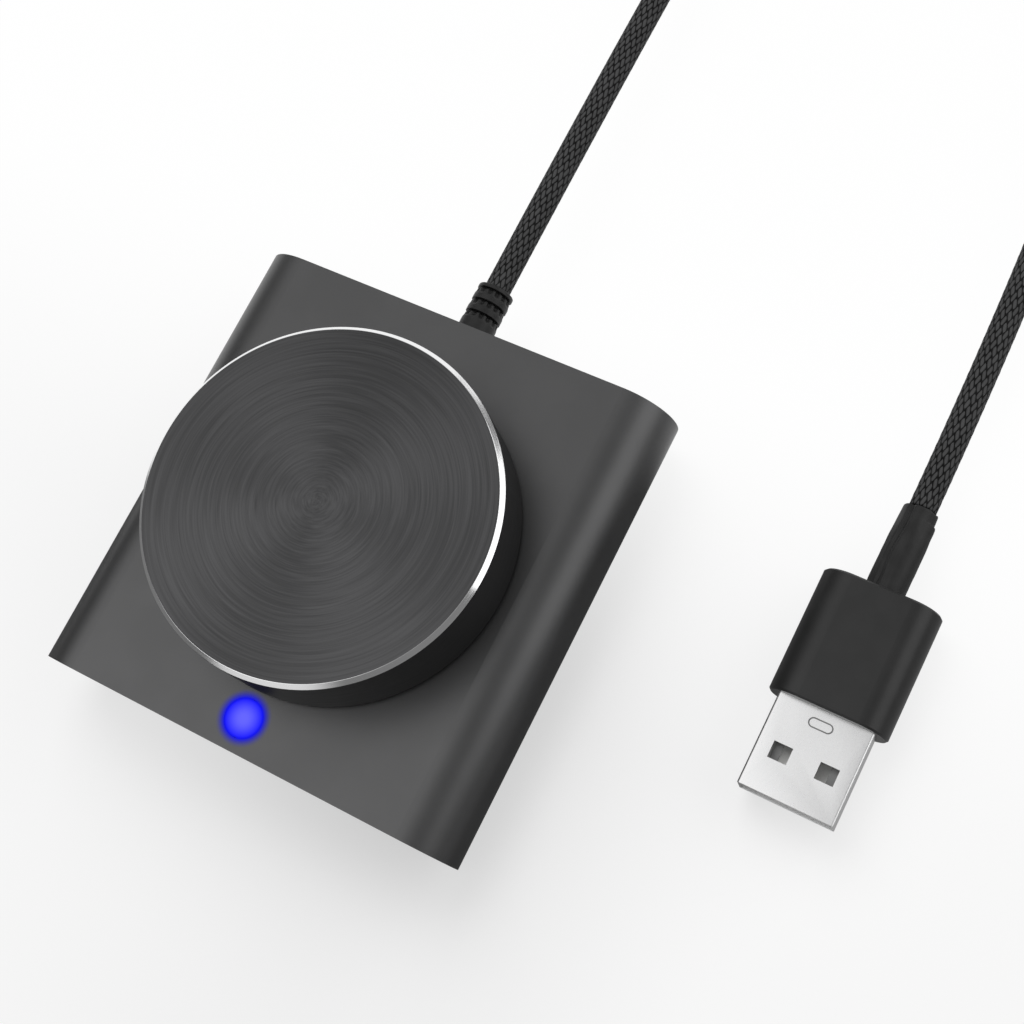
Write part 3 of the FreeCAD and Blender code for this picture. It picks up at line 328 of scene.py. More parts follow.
def braid_finish():
    """Nylon braid: leaf-shaped strands that lean left and right by turns, over their neighbours' ends, with
    painted shade that darkens each leaf from its crown to its edges and the gaps between strands.
    """
    g = Graph("cord_braid")
    u, v, _ = g.split(g.add("Attribute", attribute_name="braid").outputs["Vector"])
    p, q = g.math("ADD", u, v), g.math("SUBTRACT", u, v)
    p_cell, q_cell = g.math("FLOOR", p), g.math("FLOOR", q)
    p_in = g.math("SUBTRACT", g.math("SUBTRACT", p, p_cell), 0.5)
    q_in = g.math("SUBTRACT", g.math("SUBTRACT", q, q_cell), 0.5)
    along = g.math("MULTIPLY", g.math("SUBTRACT", p_in, q_in), 0.5)
    odd = g.math("FLOORED_MODULO", g.math("ADD", p_cell, q_cell), 2.0)
    lean = g.math("MULTIPLY_ADD", odd, 2 * LEAF_LEAN, -LEAF_LEAN)
    across = g.math("MULTIPLY_ADD", g.math("ADD", p_in, q_in), 0.5, g.math("MULTIPLY", lean, along))
    reach = g.math("DIVIDE", along, LEAF_REACH)
    narrowing = g.math("SUBTRACT", 1.0, g.math("MULTIPLY", reach, reach))
    half_width = g.math("MULTIPLY", narrowing, LEAF_HALF_WIDTH)
    share = g.math("DIVIDE", across, half_width)
    height = g.math("SQRT", g.math("SUBTRACT", 1.0, g.math("MULTIPLY", share, share), clamp=True))
    shade = g.add("TexWhiteNoise", {"Vector": g.join(p_cell, q_cell, 0.0)}).outputs["Value"]
    in_leaf = g.join(g.math("MULTIPLY", along, 1.5), g.math("MULTIPLY", across, 5.0), shade)
    wander = g.noise(1.0, 2.0, 0.5, in_leaf)
    fibre = g.math("SINE", g.math("MULTIPLY_ADD", wander, 5.0, g.math("MULTIPLY", across, LEAF_FIBRES)))
    # Painted shade: the colour runs from light on each leaf's crown to near black at its edges and in the
    # gaps between strands; the fibres and each cell's random tone are the braid's own.
    tone = g.math("MULTIPLY_ADD", fibre, 0.09, g.ramp(height, 0.30, 1.05, 0.0, 0.95))
    tone = g.math("MULTIPLY_ADD", g.math("SUBTRACT", shade, 0.5), 0.22, tone, clamp=True)
    base = g.blend(tone, rgb(0.003, 0.003, 0.003), rgb(0.072, 0.072, 0.073))
    relief = g.math("MULTIPLY_ADD", fibre, 0.04, height)
    g.surface(g.principled(base_color=base, roughness=0.7, specular=0.12, normal=g.bump(relief, 0.10, 0.8)))
    return g.material


def board_finish():
    """Solder mask with paler tracks under it."""
    g = Graph("board_green")
    cells = g.add("TexVoronoi", {"Vector": g.position(), "Scale": 0.55}, feature="DISTANCE_TO_EDGE")
    line = g.ramp(cells.outputs[0], 0.05, 0.09, 1.0, 0.0)
    speck = g.noise(5.0, 3.0)
    base = g.blend(line, rgb(0.022, 0.125, 0.052), rgb(0.042, 0.215, 0.092))
    base = g.blend(g.math("MULTIPLY", speck, 0.3), base, rgb(0.02, 0.10, 0.045))
    g.surface(g.principled(base_color=base, roughness=g.ramp(speck, 0.3, 0.7, 0.28, 0.4),
                           normal=g.bump(g.math("ADD", line, speck), 0.02)))
    return g.material


FIRST_LEAD_COLOR = rgb(0.02, 0.02, 0.02)
LEAD_COLORS = [                     # where each next lead begins, along X, and its colour
    (-1.05, rgb(0.03, 0.26, 0.06)), (0.0, rgb(0.72, 0.72, 0.70)), (1.05, rgb(0.48, 0.03, 0.03)),
]


def lead_finish():
    """Four insulated leads side by side: black, green, white and red."""
    g = Graph("lead_insulation")
    x, _, _ = g.split(g.position())
    fine = g.noise(9.0, 2.0)
    base = FIRST_LEAD_COLOR
    for start, color in LEAD_COLORS:
        base = g.blend(g.math("GREATER_THAN", x, start), base, color)
    g.surface(g.principled(base_color=base, roughness=g.ramp(fine, 0.3, 0.7, 0.36, 0.5),
                           normal=g.bump(fine, 0.01)))
    return g.material


def painted_oval_shade(g):
    """Mask of the painted shade in the pressed oval's groove: 1 in the groove, and 0 on the rest of the
    shell.
    """
    x, y, z = g.split(g.position())
    low = g.math("MULTIPLY", g.ramp(z, OVAL_FLOOR, OVAL_FLOOR + 0.03, 1.0, 0.0),
                 g.math("GREATER_THAN", z, OVAL_FLOOR - 0.06))
    here = g.math("LESS_THAN", g.math("ABSOLUTE", g.math("SUBTRACT", y, OVAL_AT)), OVAL[1])
    near = g.math("LESS_THAN", g.math("ABSOLUTE", g.math("SUBTRACT", x, PLUG_X)), OVAL[0])
    return g.math("MULTIPLY", low, g.math("MULTIPLY", here, near))


def shell_finish():
    """Satin nickel over folded sheet, with a fine rolled grain along the plug and painted shade in the
    pressed oval's groove.
    """
    g = Graph("shell_nickel")
    roll = g.noise(1.0, 3.0, 0.65, g.stretched(9.0, 1.6, 9.0))
    speck = g.noise(7.0, 3.0, 0.7)
    level = g.math("ADD", g.math("MULTIPLY", roll, 0.45), g.math("MULTIPLY", speck, 0.55))
    base = g.blend(g.ramp(level, 0.35, 0.65), rgb(0.76, 0.76, 0.765), rgb(0.83, 0.83, 0.83))
    # Painted shade: the pressed oval's groove is darkened to grey.
    base = g.blend(painted_oval_shade(g), base, grey(0.2))
    g.surface(g.principled(base_color=base, metallic=1.0, roughness=g.ramp(level, 0.3, 0.7, 0.26, 0.34),
                           normal=g.bump(level, 0.0015)))
    return g.material


def moulded_finish():
    """Fine spark texture of matte black moulded plastic."""
    g = Graph("moulded_black")
    spark = g.noise(11.0, 3.0, 0.65)
    cloud = g.noise(0.3, 2.0)
    base = g.blend(g.ramp(cloud, 0.3, 0.7), grey(0.014), grey(0.017))
    g.surface(g.principled(base_color=base, roughness=g.ramp(spark, 0.3, 0.7, 0.32, 0.40), specular=0.4,
                           normal=g.bump(spark, 0.0015)))
    return g.material


def rubber_finish():
    """Soft black rubber with a very fine grain."""
    g = Graph("rubber_black")
    fine = g.noise(16.0, 3.0, 0.6)
    cloud = g.noise(0.6, 2.0)
    base = g.blend(g.ramp(cloud, 0.3, 0.7), grey(0.011), grey(0.016))
    g.surface(g.principled(base_color=base, roughness=g.ramp(fine, 0.3, 0.7, 0.42, 0.54), specular=0.32,
                           normal=g.bump(fine, 0.003)))
    return g.material


PLAIN_FINISHES = [
    # slot, colour, metallic, roughness, grain, its depth, its factor along each axis, colour's variation
    ("plate_anodised", (0.092, 0.092, 0.095), 0.9, 0.42, 2.2, 0.002, (1, 6, 6), 0.12),
    ("chip_black", (0.03, 0.03, 0.03), 0.0, 0.55, 12.0, 0.006, (1, 1, 1), 0.12),
    ("can_steel", (0.6, 0.6, 0.6), 1.0, 0.3, 3.0, 0.002, (1, 1, 5), 0.12),
    ("chip_parts_tan", (0.45, 0.34, 0.22), 0.0, 0.4, 9.0, 0.006, (1, 1, 1), 0.12),
    ("lamp_white", (0.85, 0.85, 0.82), 0.0, 0.35, 8.0, 0.003, (1, 1, 1), 0.03),
    ("header_cream", (0.8, 0.76, 0.66), 0.0, 0.4, 7.0, 0.004, (1, 1, 1), 0.04),
    ("moulded_white", (0.8, 0.8, 0.78), 0.0, 0.45, 8.0, 0.004, (1, 1, 1), 0.04),
    ("zinc_steel", (0.62, 0.62, 0.6), 1.0, 0.34, 4.0, 0.003, (1, 1, 4), 0.12),
    ("turned_brass", (0.72, 0.56, 0.28), 1.0, 0.28, 5.0, 0.003, (1, 1, 6), 0.12),
    ("spring_brass", (0.75, 0.6, 0.35), 1.0, 0.3, 5.0, 0.002, (6, 1, 1), 0.12),
    ("contact_tin", (0.26, 0.26, 0.26), 1.0, 0.45, 6.0, 0.002, (6, 1, 1), 0.12),
]

FINISHES = {
    "dark_anodised": housing_finish(),
    "window_blue": window_finish(),
    "spun_anodised": knob_side_finish(),
    "cord_braid": braid_finish(),
    "board_green": board_finish(),
    "lead_insulation": lead_finish(),
    "shell_nickel": shell_finish(),
    "moulded_black": moulded_finish(),
    "rubber_black": rubber_finish(),
}
for slot_name, *look in PLAIN_FINISHES:
    FINISHES[slot_name] = surface_finish(slot_name, *look)

for node in nodes.values():
    for holder in node.material_slots:
        holder.material = FINISHES[holder.material.name.split(".")[0]]


# ---------------------------------------------------------------- mesh helpers
def turns(steps):
    """The angles of even steps round a circle."""
    return [2 * math.pi * i / steps for i in range(steps)]


def about(axis, radius, turn, y):
    """A point at a radius and a turn from an axis that runs along Y through (x, z)."""
    return axis[0] + radius * math.cos(turn), y, axis[1] + radius * math.sin(turn)


def quads(rows, count, closed=False):
    """Faces between rings of count points each. closed joins the last ring to the first as well."""
    faces = []
    for row in range(rows if closed else rows - 1):
        here, there = row * count, (row + 1) % rows * count
        for i in range(count):
            j = (i + 1) % count
            faces.append((here + i, here + j, there + j, there + i))
    return faces


def skin(rings):
    """A skin over rings of points, all with the same count, with a flat face at each end."""
    count = len(rings[0])
    last = (len(rings) - 1) * count
    points = [point for ring in rings for point in ring]
    faces = quads(len(rings), count)
    faces.append(tuple(reversed(range(count))))
    faces.append(tuple(range(last, last + count)))
    return points, faces


def new_mesh(name, points, faces):
    mesh = bpy.data.meshes.new(name)
    mesh.from_pydata([Vector(p) * MM for p in points], [], faces)
    return mesh


def face_outward(mesh):
    form = bmesh.new()
    form.from_mesh(mesh)
    bmesh.ops.recalc_face_normals(form, faces=form.faces)
    form.to_mesh(mesh)
    form.free()


def finish_mesh(mesh, sharp):
    """Outward faces, shaded smooth except over edges that turn by more than sharp degrees."""
    face_outward(mesh)
    mesh.polygons.foreach_set("use_smooth", [True] * len(mesh.polygons))
    mesh.set_sharp_from_angle(angle=math.radians(sharp))
    mesh.update()


def mesh_piece(name, points, faces, materials, body="base", sharp=40.0, bands=None):
    """A smooth-shaded piece that rides on a body. bands gives the number of each face's material."""
    mesh = new_mesh(name, points, faces)
    for material in materials:
        mesh.materials.append(material)
    if bands is not None:
        mesh.polygons.foreach_set("material_index", bands)
    mesh.validate()
    finish_mesh(mesh, sharp)
    piece = link(bpy.data.objects.new(name, mesh))
    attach(piece, body)
    return piece


# ---------------------------------------------------------------- cord
CORD_DIAMETER = 3.5
BODY_POINTS = [(0, 37.8, 7.4), (0, 89.3, 7.4), (0, 140, 1.75)]
PLUG_POINTS = [(52.0, 140, 8.75), (60.8, 86.7, 3.8), (60.8, 32.9, 3.8)]
COIL_CENTRE = (26.0, 140.0)
COIL_STEPS = 20                     # points in each turn
COIL_TURNS = 8.5
COIL_PLACES = [                     # radius and height of each turn, in the order of winding
    (26.0, 1.75), (22.5, 1.75), (19.0, 1.75), (19.0, 5.25), (19.0, 8.75),
    (22.5, 8.75), (22.5, 5.25), (26.0, 5.25), (26.0, 8.75),
]
BRAID_ROUND = 12                    # strands seen round the cord
BRAID_LENGTH = 1.68                 # of one cell along the cord
BRAID_DEPTH = 0.07
BRAID_SPOKES = 3                    # mesh points across a cell
BRAID_ROWS = 5                      # and along it
CORD_SPOKES = BRAID_SPOKES * BRAID_ROUND


def coil_points():
    """Turns beside and on each other, each moving over one place just before it meets itself."""
    step = 2 * math.pi / COIL_STEPS
    outward = 1 / (0.75 + 0.25 * math.cos(step))    # makes up for the spline's way inside its points
    points = []
    for index in range(1, round(COIL_TURNS * COIL_STEPS)):
        radius, z = COIL_PLACES[min(len(COIL_PLACES) - 1, index // (COIL_STEPS - 1))]
        turn = math.pi - index * step
        points.append((COIL_CENTRE[0] + radius * outward * math.cos(turn),
                       COIL_CENTRE[1] + radius * outward * math.sin(turn), z))
    return points


def route_line(points):
    """The points, in metres, of the smooth line that a NURBS spline draws through its route."""
    curve = bpy.data.curves.new("cord_route", "CURVE")
    curve.dimensions = "3D"
    spline = curve.splines.new("NURBS")
    spline.points.add(len(points) - 1)
    for point, place in zip(spline.points, points):
        point.co = (*(c * MM for c in place), 1.0)
    spline.order_u = 3
    spline.use_endpoint_u = True
    spline.resolution_u = 24
    route = link(bpy.data.objects.new("cord_route", curve))
    bpy.context.view_layer.update()
    line = [v.co.copy() for v in bpy.data.meshes.new_from_object(route).vertices]
    bpy.data.objects.remove(route)
    return line


def even_steps(line, step):
    """Points along the same line in equal steps, a whole number of them and as near as can be to step."""
    tiny = 1e-9
    total = sum((b - a).length for a, b in zip(line, line[1:]))
    count = round(total / step)
    step = total / count
    out, gone, want = [line[0].copy()], 0.0, step
    for a, b in zip(line, line[1:]):
        length = (b - a).length
        while want <= gone + length + tiny and len(out) < count:
            out.append(a.lerp(b, (want - gone) / length))
            want += step
        gone += length
    out.append(line[-1].copy())
    return out


def braid_height(u, v):
    """How high a strand stands at a place in the braid, where cells are one across and one along."""
    p, q = u + v, u - v
    p_in, q_in = p - math.floor(p) - 0.5, q - math.floor(q) - 0.5
    if (math.floor(p) + math.floor(q)) % 2:
        p_in, q_in = q_in, p_in
    return math.sqrt(max(0.0, 1 - 4 * q_in * q_in)) * (0.4 + 0.6 * math.cos(math.pi * p_in))


def braid_rings(centres):
    """Rings of points round the cord's line, in metres, drawn in where the braid dips."""
    radius = CORD_DIAMETER / 2 * MM
    across, along = 2 * BRAID_SPOKES, 2 * BRAID_ROWS
    heights = {(i, j): braid_height(i / BRAID_SPOKES, j / BRAID_ROWS)
               for i in range(across) for j in range(along)}
    side = Vector((1, 0, 0))
    rings = []
    for index, centre in enumerate(centres):
        ahead = centres[min(index + 1, len(centres) - 1)] - centres[max(index - 1, 0)]
        ahead.normalize()
        side = (side - ahead * side.dot(ahead)).normalized()
        lift = ahead.cross(side)
        ring = []
        for i, turn in enumerate(turns(CORD_SPOKES)):
            out = radius - BRAID_DEPTH * MM * (1 - heights[i % across, index % along])
            ring.append(centre + side * (math.cos(turn) * out) + lift * (math.sin(turn) * out))
        rings.append(ring)
    return rings


def braid_places(rows):
    """Each face corner's place in the braid, for its finish: across, along and 0, and none at the ends."""
    places = []
    for row in range(rows):
        for i in range(CORD_SPOKES):
            for a, b in ((i, row), (i + 1, row), (i + 1, row + 1), (i, row + 1)):
                places += (a / BRAID_SPOKES, b / BRAID_ROWS, 0.0)
    both_ends = 2 * CORD_SPOKES
    places += (0.0, 0.0, 0.0) * both_ends
    return places


def make_cord():
    """The braided cord as one mesh tube, and the line along its middle."""
    route = route_line(BODY_POINTS + coil_points() + PLUG_POINTS)
    centres = even_steps(route, BRAID_LENGTH * MM / BRAID_ROWS)
    points, faces = skin(braid_rings(centres))
    mesh = bpy.data.meshes.new("cord")
    mesh.from_pydata(points, [], faces)
    mesh.materials.append(FINISHES["cord_braid"])
    mesh.polygons.foreach_set("use_smooth", [True] * len(mesh.polygons))
    corners = mesh.attributes.new("braid", "FLOAT_VECTOR", "CORNER")
    corners.data.foreach_set("vector", braid_places(len(centres) - 1))
    mesh.update()
    return link(bpy.data.objects.new("cord", mesh)), centres


cord, cord_line = make_cord()
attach(cord, "base")
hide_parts("cord_body_run", "cord_coil", "cord_plug_run")


# ---------------------------------------------------------------- knob
KNOB_RADIUS = 22.2
KNOB_BOTTOM = 14.75
KNOB_TOP = 25.2
KNOB_CHAMFER = 0.53
KNOB_INNER = 20.2                   # radius of the hollow under it
KNOB_CROWN = 22.0                   # height of the hollow's roof
KNOB_MIDDLE = 2.0                   # radius of the innermost ring of points on its top
KNOB_EASE = (0.04, 0.02)            # of the chamfer's edges: on the top or the side, and on the cut
KNOB_ROUNDING = 0.25                # of the side's lower edge
KNOB_ROUNDING_MIDDLE = 0.07         # how far the middle of that rounding lies inside both faces
KNOB_STEPS = 192


def make_knob():
    """The turned cup, from the middle of its top, over the cut chamfer, down its side and up inside."""
    top, side, cut = 0, 1, 2
    flat_ease, cut_ease = KNOB_EASE
    chamfer_z = KNOB_TOP - KNOB_CHAMFER
    chamfer_radius = KNOB_RADIUS - KNOB_CHAMFER
    profile = [
        (KNOB_MIDDLE, KNOB_TOP, top), (chamfer_radius - flat_ease, KNOB_TOP, top),
        (chamfer_radius, KNOB_TOP - cut_ease, cut), (KNOB_RADIUS - cut_ease, chamfer_z, cut),
        (KNOB_RADIUS, chamfer_z - flat_ease, side), (KNOB_RADIUS, KNOB_BOTTOM + KNOB_ROUNDING, side),
        (KNOB_RADIUS - KNOB_ROUNDING_MIDDLE, KNOB_BOTTOM + KNOB_ROUNDING_MIDDLE, side),
        (KNOB_RADIUS - KNOB_ROUNDING, KNOB_BOTTOM, side),
        (KNOB_INNER, KNOB_BOTTOM, side), (KNOB_INNER, KNOB_CROWN, side),
    ]
    points = [(radius * math.cos(turn), radius * math.sin(turn), z)
              for radius, z, _ in profile for turn in turns(KNOB_STEPS)]
    faces = quads(len(profile), KNOB_STEPS)
    bands = [band for _, _, band in profile[1:] for _ in range(KNOB_STEPS)]
    middle = len(points)
    points += [(0, 0, KNOB_TOP), (0, 0, KNOB_CROWN)]
    last = (len(profile) - 1) * KNOB_STEPS
    for i in range(KNOB_STEPS):
        j = (i + 1) % KNOB_STEPS
        faces += [(middle, i, j), (middle + 1, last + j, last + i)]
        bands += [top, side]
    finishes = [spun_finish(), FINISHES["spun_anodised"], chamfer_finish()]
    knob = mesh_piece("knob_cup", points, faces, finishes, body="knob",
                      sharp=12.0, bands=bands)
    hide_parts("knob_cap")


make_knob()


# ---------------------------------------------------------------- strain relief
RELIEF_AXIS = (0.0, 7.4)            # X and Z
RELIEF_STEPS = 168
RELIEF_FLANGE = (27.8, 28.8)        # its two faces along Y, on the rear plate's inner side
RELIEF_FLANGE_RADIUS = 3.5
RELIEF_NECK_RADIUS = 2.0            # through the rear plate
RELIEF_START = 30.0                 # the rear plate's outer face
RELIEF_RADIUS = 2.45
RELIEF_LENGTH = 7.8
RELIEF_LIPS = (3.7, 5.45, 7.2)      # where each band's overhanging lip begins, from the plate
RELIEF_TEETH = 14
RELIEF_TOOTH_DEPTH = 0.38
RELIEF_TOOTH_SQUARENESS = 2.2
RELIEF_BAND_ROWS = 16
RELIEF_BAND_DEPTH = 0.10            # between the teeth's crests and the sleeve
RELIEF_DEEPENING = (1.05, 0.4)      # how long before a lip its teeth begin, and are at full depth
RELIEF_GAP = (0.24, 0.12)           # how long before a lip the gap under it begins, and is at full depth
RELIEF_EASE = 0.05
RELIEF_LIP_EASE = 0.06
RELIEF_EDGE_REACH = 0.03            # a ring that is this near to an edge is drawn in by the edge's ease
RELIEF_TIP = (                      # its rounded tip: from its end along Y, and radius
    (-0.12, 2.43), (-0.05, 2.37), (-0.01, 2.28), (0.0, 2.18), (0.0, 1.9), (-0.25, 1.78),
)


def relief_radius(s, turn):
    """The sleeve's radius at s from the plate: teeth deepen towards each lip, and end in a dark gap."""
    for lip in RELIEF_LIPS:
        if s < lip:
            deep = smooth(lip - RELIEF_DEEPENING[0], lip - RELIEF_DEEPENING[1], s)
            wave = math.tanh(RELIEF_TOOTH_SQUARENESS * math.cos(RELIEF_TEETH * turn + lip))
            tooth = 0.5 + 0.5 * wave / math.tanh(RELIEF_TOOTH_SQUARENESS)
            radius = RELIEF_RADIUS - deep * (RELIEF_BAND_DEPTH + RELIEF_TOOTH_DEPTH * (1 - tooth))
            gap = smooth(lip - RELIEF_GAP[0], lip - RELIEF_GAP[1], s)
            return radius - RELIEF_TOOTH_DEPTH * gap * (0.5 + 0.5 * tooth)
    return RELIEF_RADIUS


def relief_stations():
    """Where the sleeve's rings lie, from the plate: close together up to each lip, and at its edges."""
    stations = [0.001, 0.04, 0.5, 1.0, 1.6, 2.2]
    previous = 2.4
    for lip in RELIEF_LIPS:
        length = lip - 0.02 - previous
        stations += [previous + length * k / RELIEF_BAND_ROWS for k in range(RELIEF_BAND_ROWS + 1)]
        stations += [lip + 0.001, lip + 0.05, lip + 0.12]
        previous = lip + 0.25
    return stations + [RELIEF_LENGTH - 0.2]


def relief_ease(s):
    """How far a ring is drawn in to ease the sleeve's first edge or a lip's."""
    ease = RELIEF_EASE if s < RELIEF_EDGE_REACH else 0.0
    if any(0 <= s - lip < RELIEF_EDGE_REACH for lip in RELIEF_LIPS):
        ease += RELIEF_LIP_EASE
    return ease


def make_relief():
    """The rubber sleeve: a flange, a neck through the rear plate, three toothed bands and a rounded tip."""
    front, back = RELIEF_FLANGE
    eased_radius = RELIEF_FLANGE_RADIUS - RELIEF_EASE
    rows = [
        (front, eased_radius), (front + RELIEF_EASE, RELIEF_FLANGE_RADIUS),
        (back - RELIEF_EASE, RELIEF_FLANGE_RADIUS), (back, eased_radius),
        (back, RELIEF_NECK_RADIUS), (RELIEF_START, RELIEF_NECK_RADIUS),
    ]
    tip = [(RELIEF_START + RELIEF_LENGTH + s, radius) for s, radius in RELIEF_TIP]
    round_turns = turns(RELIEF_STEPS)
    rings = [[about(RELIEF_AXIS, radius, turn, y) for turn in round_turns] for y, radius in rows]
    for s in relief_stations():
        rings.append([about(RELIEF_AXIS, relief_radius(s, turn) - relief_ease(s), turn, RELIEF_START + s)
                      for turn in round_turns])
    rings += [[about(RELIEF_AXIS, radius, turn, y) for turn in round_turns] for y, radius in tip]
    points, faces = skin(rings)
    relief = mesh_piece("relief_sleeve", points, faces, [FINISHES["rubber_black"]],
                        sharp=50.0)
    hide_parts("strain_relief")
    return relief


relief = make_relief()


# ---------------------------------------------------------------- plug's boot
BOOT_START = 21.4
BOOT_END = 32.9
BOOT_END_UNEVEN = 0.16              # how far its end wanders along Y, to each side of its mean
BOOT_END_DISH = 0.02                # how far its end face falls back towards the cord
BOOT_END_EASE = (0.15, 0.05)        # along Y and in radius
BOOT_RADIUS = 2.48
BOOT_INSET = 0.035                  # of its whole surface, for the folds to rise on
BOOT_INNER_RADIUS = 1.72            # just inside the cord's surface
BOOT_TAPER = 0.24
BOOT_TAPER_START = 28.0
BOOT_RIGHT = (0.35, 0.95)           # the turn's cosine where its right side begins, and where it is full
BOOT_SWELL = 0.10                   # of its right side, before the step
BOOT_SWELL_RISE = (29.5, 30.9)
BOOT_STEP = 31.2                    # where the outer layer ends, on its right side
BOOT_STEP_DEPTH = 0.22
BOOT_STEP_LENGTH = 0.12
BOOT_STEP_UNEVEN = 0.25
BOOT_LINE_WIDTH = 0.14              # radians, of the crease and the fold
BOOT_CREASE = math.radians(122)     # round the boot, where its long crease runs
BOOT_CREASE_DEPTH = 0.34
BOOT_CREASE_DEEPENS = (24.0, 30.0)
BOOT_FOLD = -0.40                   # radians from the crease to a shorter fold
BOOT_FOLD_DEPTH = 0.10
BOOT_FOLD_FADES = (25.0, 29.0)
BOOT_STEPS = 160
BOOT_ROWS = 100


def noise_round(turn, scale, level):
    """Smooth noise that meets itself after a whole turn."""
    return noise.noise(Vector((math.cos(turn) * scale, math.sin(turn) * scale, level)))


def line_shape(turn, at):
    """A long line's depth round the boot: 1 at its middle, falling off over its width."""
    away = (turn - at) / BOOT_LINE_WIDTH
    return math.exp(-away * away)


def crease_turn(y):
    """Where the long crease runs round the boot: it sways a little, and drifts off near the end."""
    return BOOT_CREASE - 0.05 * math.sin(y * 0.9) - 0.06 * smooth(28.0, 32.5, y)


def soft_folds(turn, y):
    """The rise of broad folds and fine wrinkles, which fade out at the boot's start."""
    broad = noise_round(turn, 1.5, (y - BOOT_START) * 0.22)
    fine = noise_round(turn, 4.0, y * 0.8 + 20)
    return smooth(BOOT_START, BOOT_START + 1.2, y) * (0.085 * broad + 0.018 * fine)


def boot_radius(turn, y, end):
    """The sleeve's radius: it narrows to the cord, with a long crease, a fold and a step on its right."""
    right = smooth(*BOOT_RIGHT, math.cos(turn))
    step_at = BOOT_STEP + BOOT_STEP_UNEVEN * noise_round(turn, 2.2, 9.0)
    crease = line_shape(turn, crease_turn(y)) * (0.6 + 0.4 * smooth(*BOOT_CREASE_DEEPENS, y))
    fold = line_shape(turn, BOOT_CREASE + BOOT_FOLD) * (1 - smooth(*BOOT_FOLD_FADES, y))
    radius = BOOT_RADIUS - BOOT_INSET - BOOT_TAPER * smooth(BOOT_TAPER_START, BOOT_END, y)
    radius += BOOT_SWELL * right * smooth(*BOOT_SWELL_RISE, y)
    radius -= BOOT_STEP_DEPTH * right * smooth(step_at, step_at + BOOT_STEP_LENGTH, y)
    radius -= BOOT_CREASE_DEPTH * crease + BOOT_FOLD_DEPTH * fold
    radius -= BOOT_END_EASE[1] * smooth(end - BOOT_END_EASE[0], end, y)
    return radius + soft_folds(turn, y)


def make_boot():
    """A shrunk sleeve in two layers, with an uneven end that closes on the cord."""
    axis = (PLUG_X, PLUG_Z)
    ends = [(turn, BOOT_END - BOOT_END_UNEVEN + BOOT_END_UNEVEN * noise_round(turn, 1.7, 4.0))
            for turn in turns(BOOT_STEPS)]
    rings = []
    for row in range(BOOT_ROWS + 1):
        ring = []
        for turn, end in ends:
            y = BOOT_START + (end - BOOT_START) * row / BOOT_ROWS
            ring.append(about(axis, boot_radius(turn, y, end), turn, y))
        rings.append(ring)
    rings.append([about(axis, BOOT_INNER_RADIUS, turn, end - BOOT_END_DISH) for turn, end in ends])
    points, faces = skin(rings)
    boot = mesh_piece("boot_sleeve", points, faces, [FINISHES["rubber_black"]],
                      sharp=50.0)
    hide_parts("plug_boot")
    return boot


boot = make_boot()


# ---------------------------------------------------------------- plug's shell
SHELL_TIP = -6.45
SHELL_ROOT = 8.3                    # its end inside the overmould
SHELL_WIDTH = 12.0
SHELL_SHEET = 0.3
SHELL_BEND = 0.05                   # inner radius of its corners
SHELL_EASE = 0.05                   # of the two edges round its mouth
SHELL_TOP = PLUG_Z + SHELL_HEIGHT / 2
SHELL_BOTTOM = PLUG_Z - SHELL_HEIGHT / 2
CORNER_STEPS = 6
LATCH = (2.35, 2.1)                 # a latch hole's width and length
LATCH_X = 2.9                       # its middle from the plug's axis
LATCH_Y = -1.3
SEAM_HALF_WIDTH = 0.03
SEAM_DEPTH = 0.12
OVAL_LINE = 0.12                    # width of the oval's groove at its floor
OVAL_STEPS = 64
CUT_PAST = 1.0                      # how far a cutting block reaches past the sheet


def rounded(width, height, radius, y):
    """A rounded rectangle's points at y, round the plug's axis."""
    points = []
    for right, up, start in ((1, 1, 0), (-1, 1, 90), (-1, -1, 180), (1, -1, 270)):
        corner = (PLUG_X + right * (width / 2 - radius), PLUG_Z + up * (height / 2 - radius))
        for k in range(CORNER_STEPS + 1):
            points.append(about(corner, radius, math.radians(start + 90 * k / CORNER_STEPS), y))
    return points


def loose_mesh(name, points, faces):
    """An object that is only used to make the shell, and is removed afterwards."""
    mesh = new_mesh(name, points, faces)
    face_outward(mesh)
    return link(bpy.data.objects.new(name, mesh))


def block(name, x0, x1, y0, y1, z0, z1):
    return loose_mesh(name, *skin([[(x0, y0, z), (x1, y0, z), (x1, y1, z), (x0, y1, z)] for z in (z0, z1)]))


def oval_groove():
    """A closed ring, wider at its top, to press the oval's line into the sheet."""
    section = ((-1, -OVAL_DEPTH), (1, -OVAL_DEPTH), (1.6, 0.05), (-1.6, 0.05))
    straight = (OVAL[0] - OVAL[1]) / 2
    points = []
    for turn in turns(OVAL_STEPS):
        for reach, over in section:
            radius = OVAL[1] / 2 + reach * OVAL_LINE / 2
            x = math.copysign(straight, math.cos(turn)) + radius * math.cos(turn)
            points.append((PLUG_X + x, OVAL_AT + radius * math.sin(turn), SHELL_TOP + over))
    return loose_mesh("oval_cut", points, quads(OVAL_STEPS, len(section), closed=True))


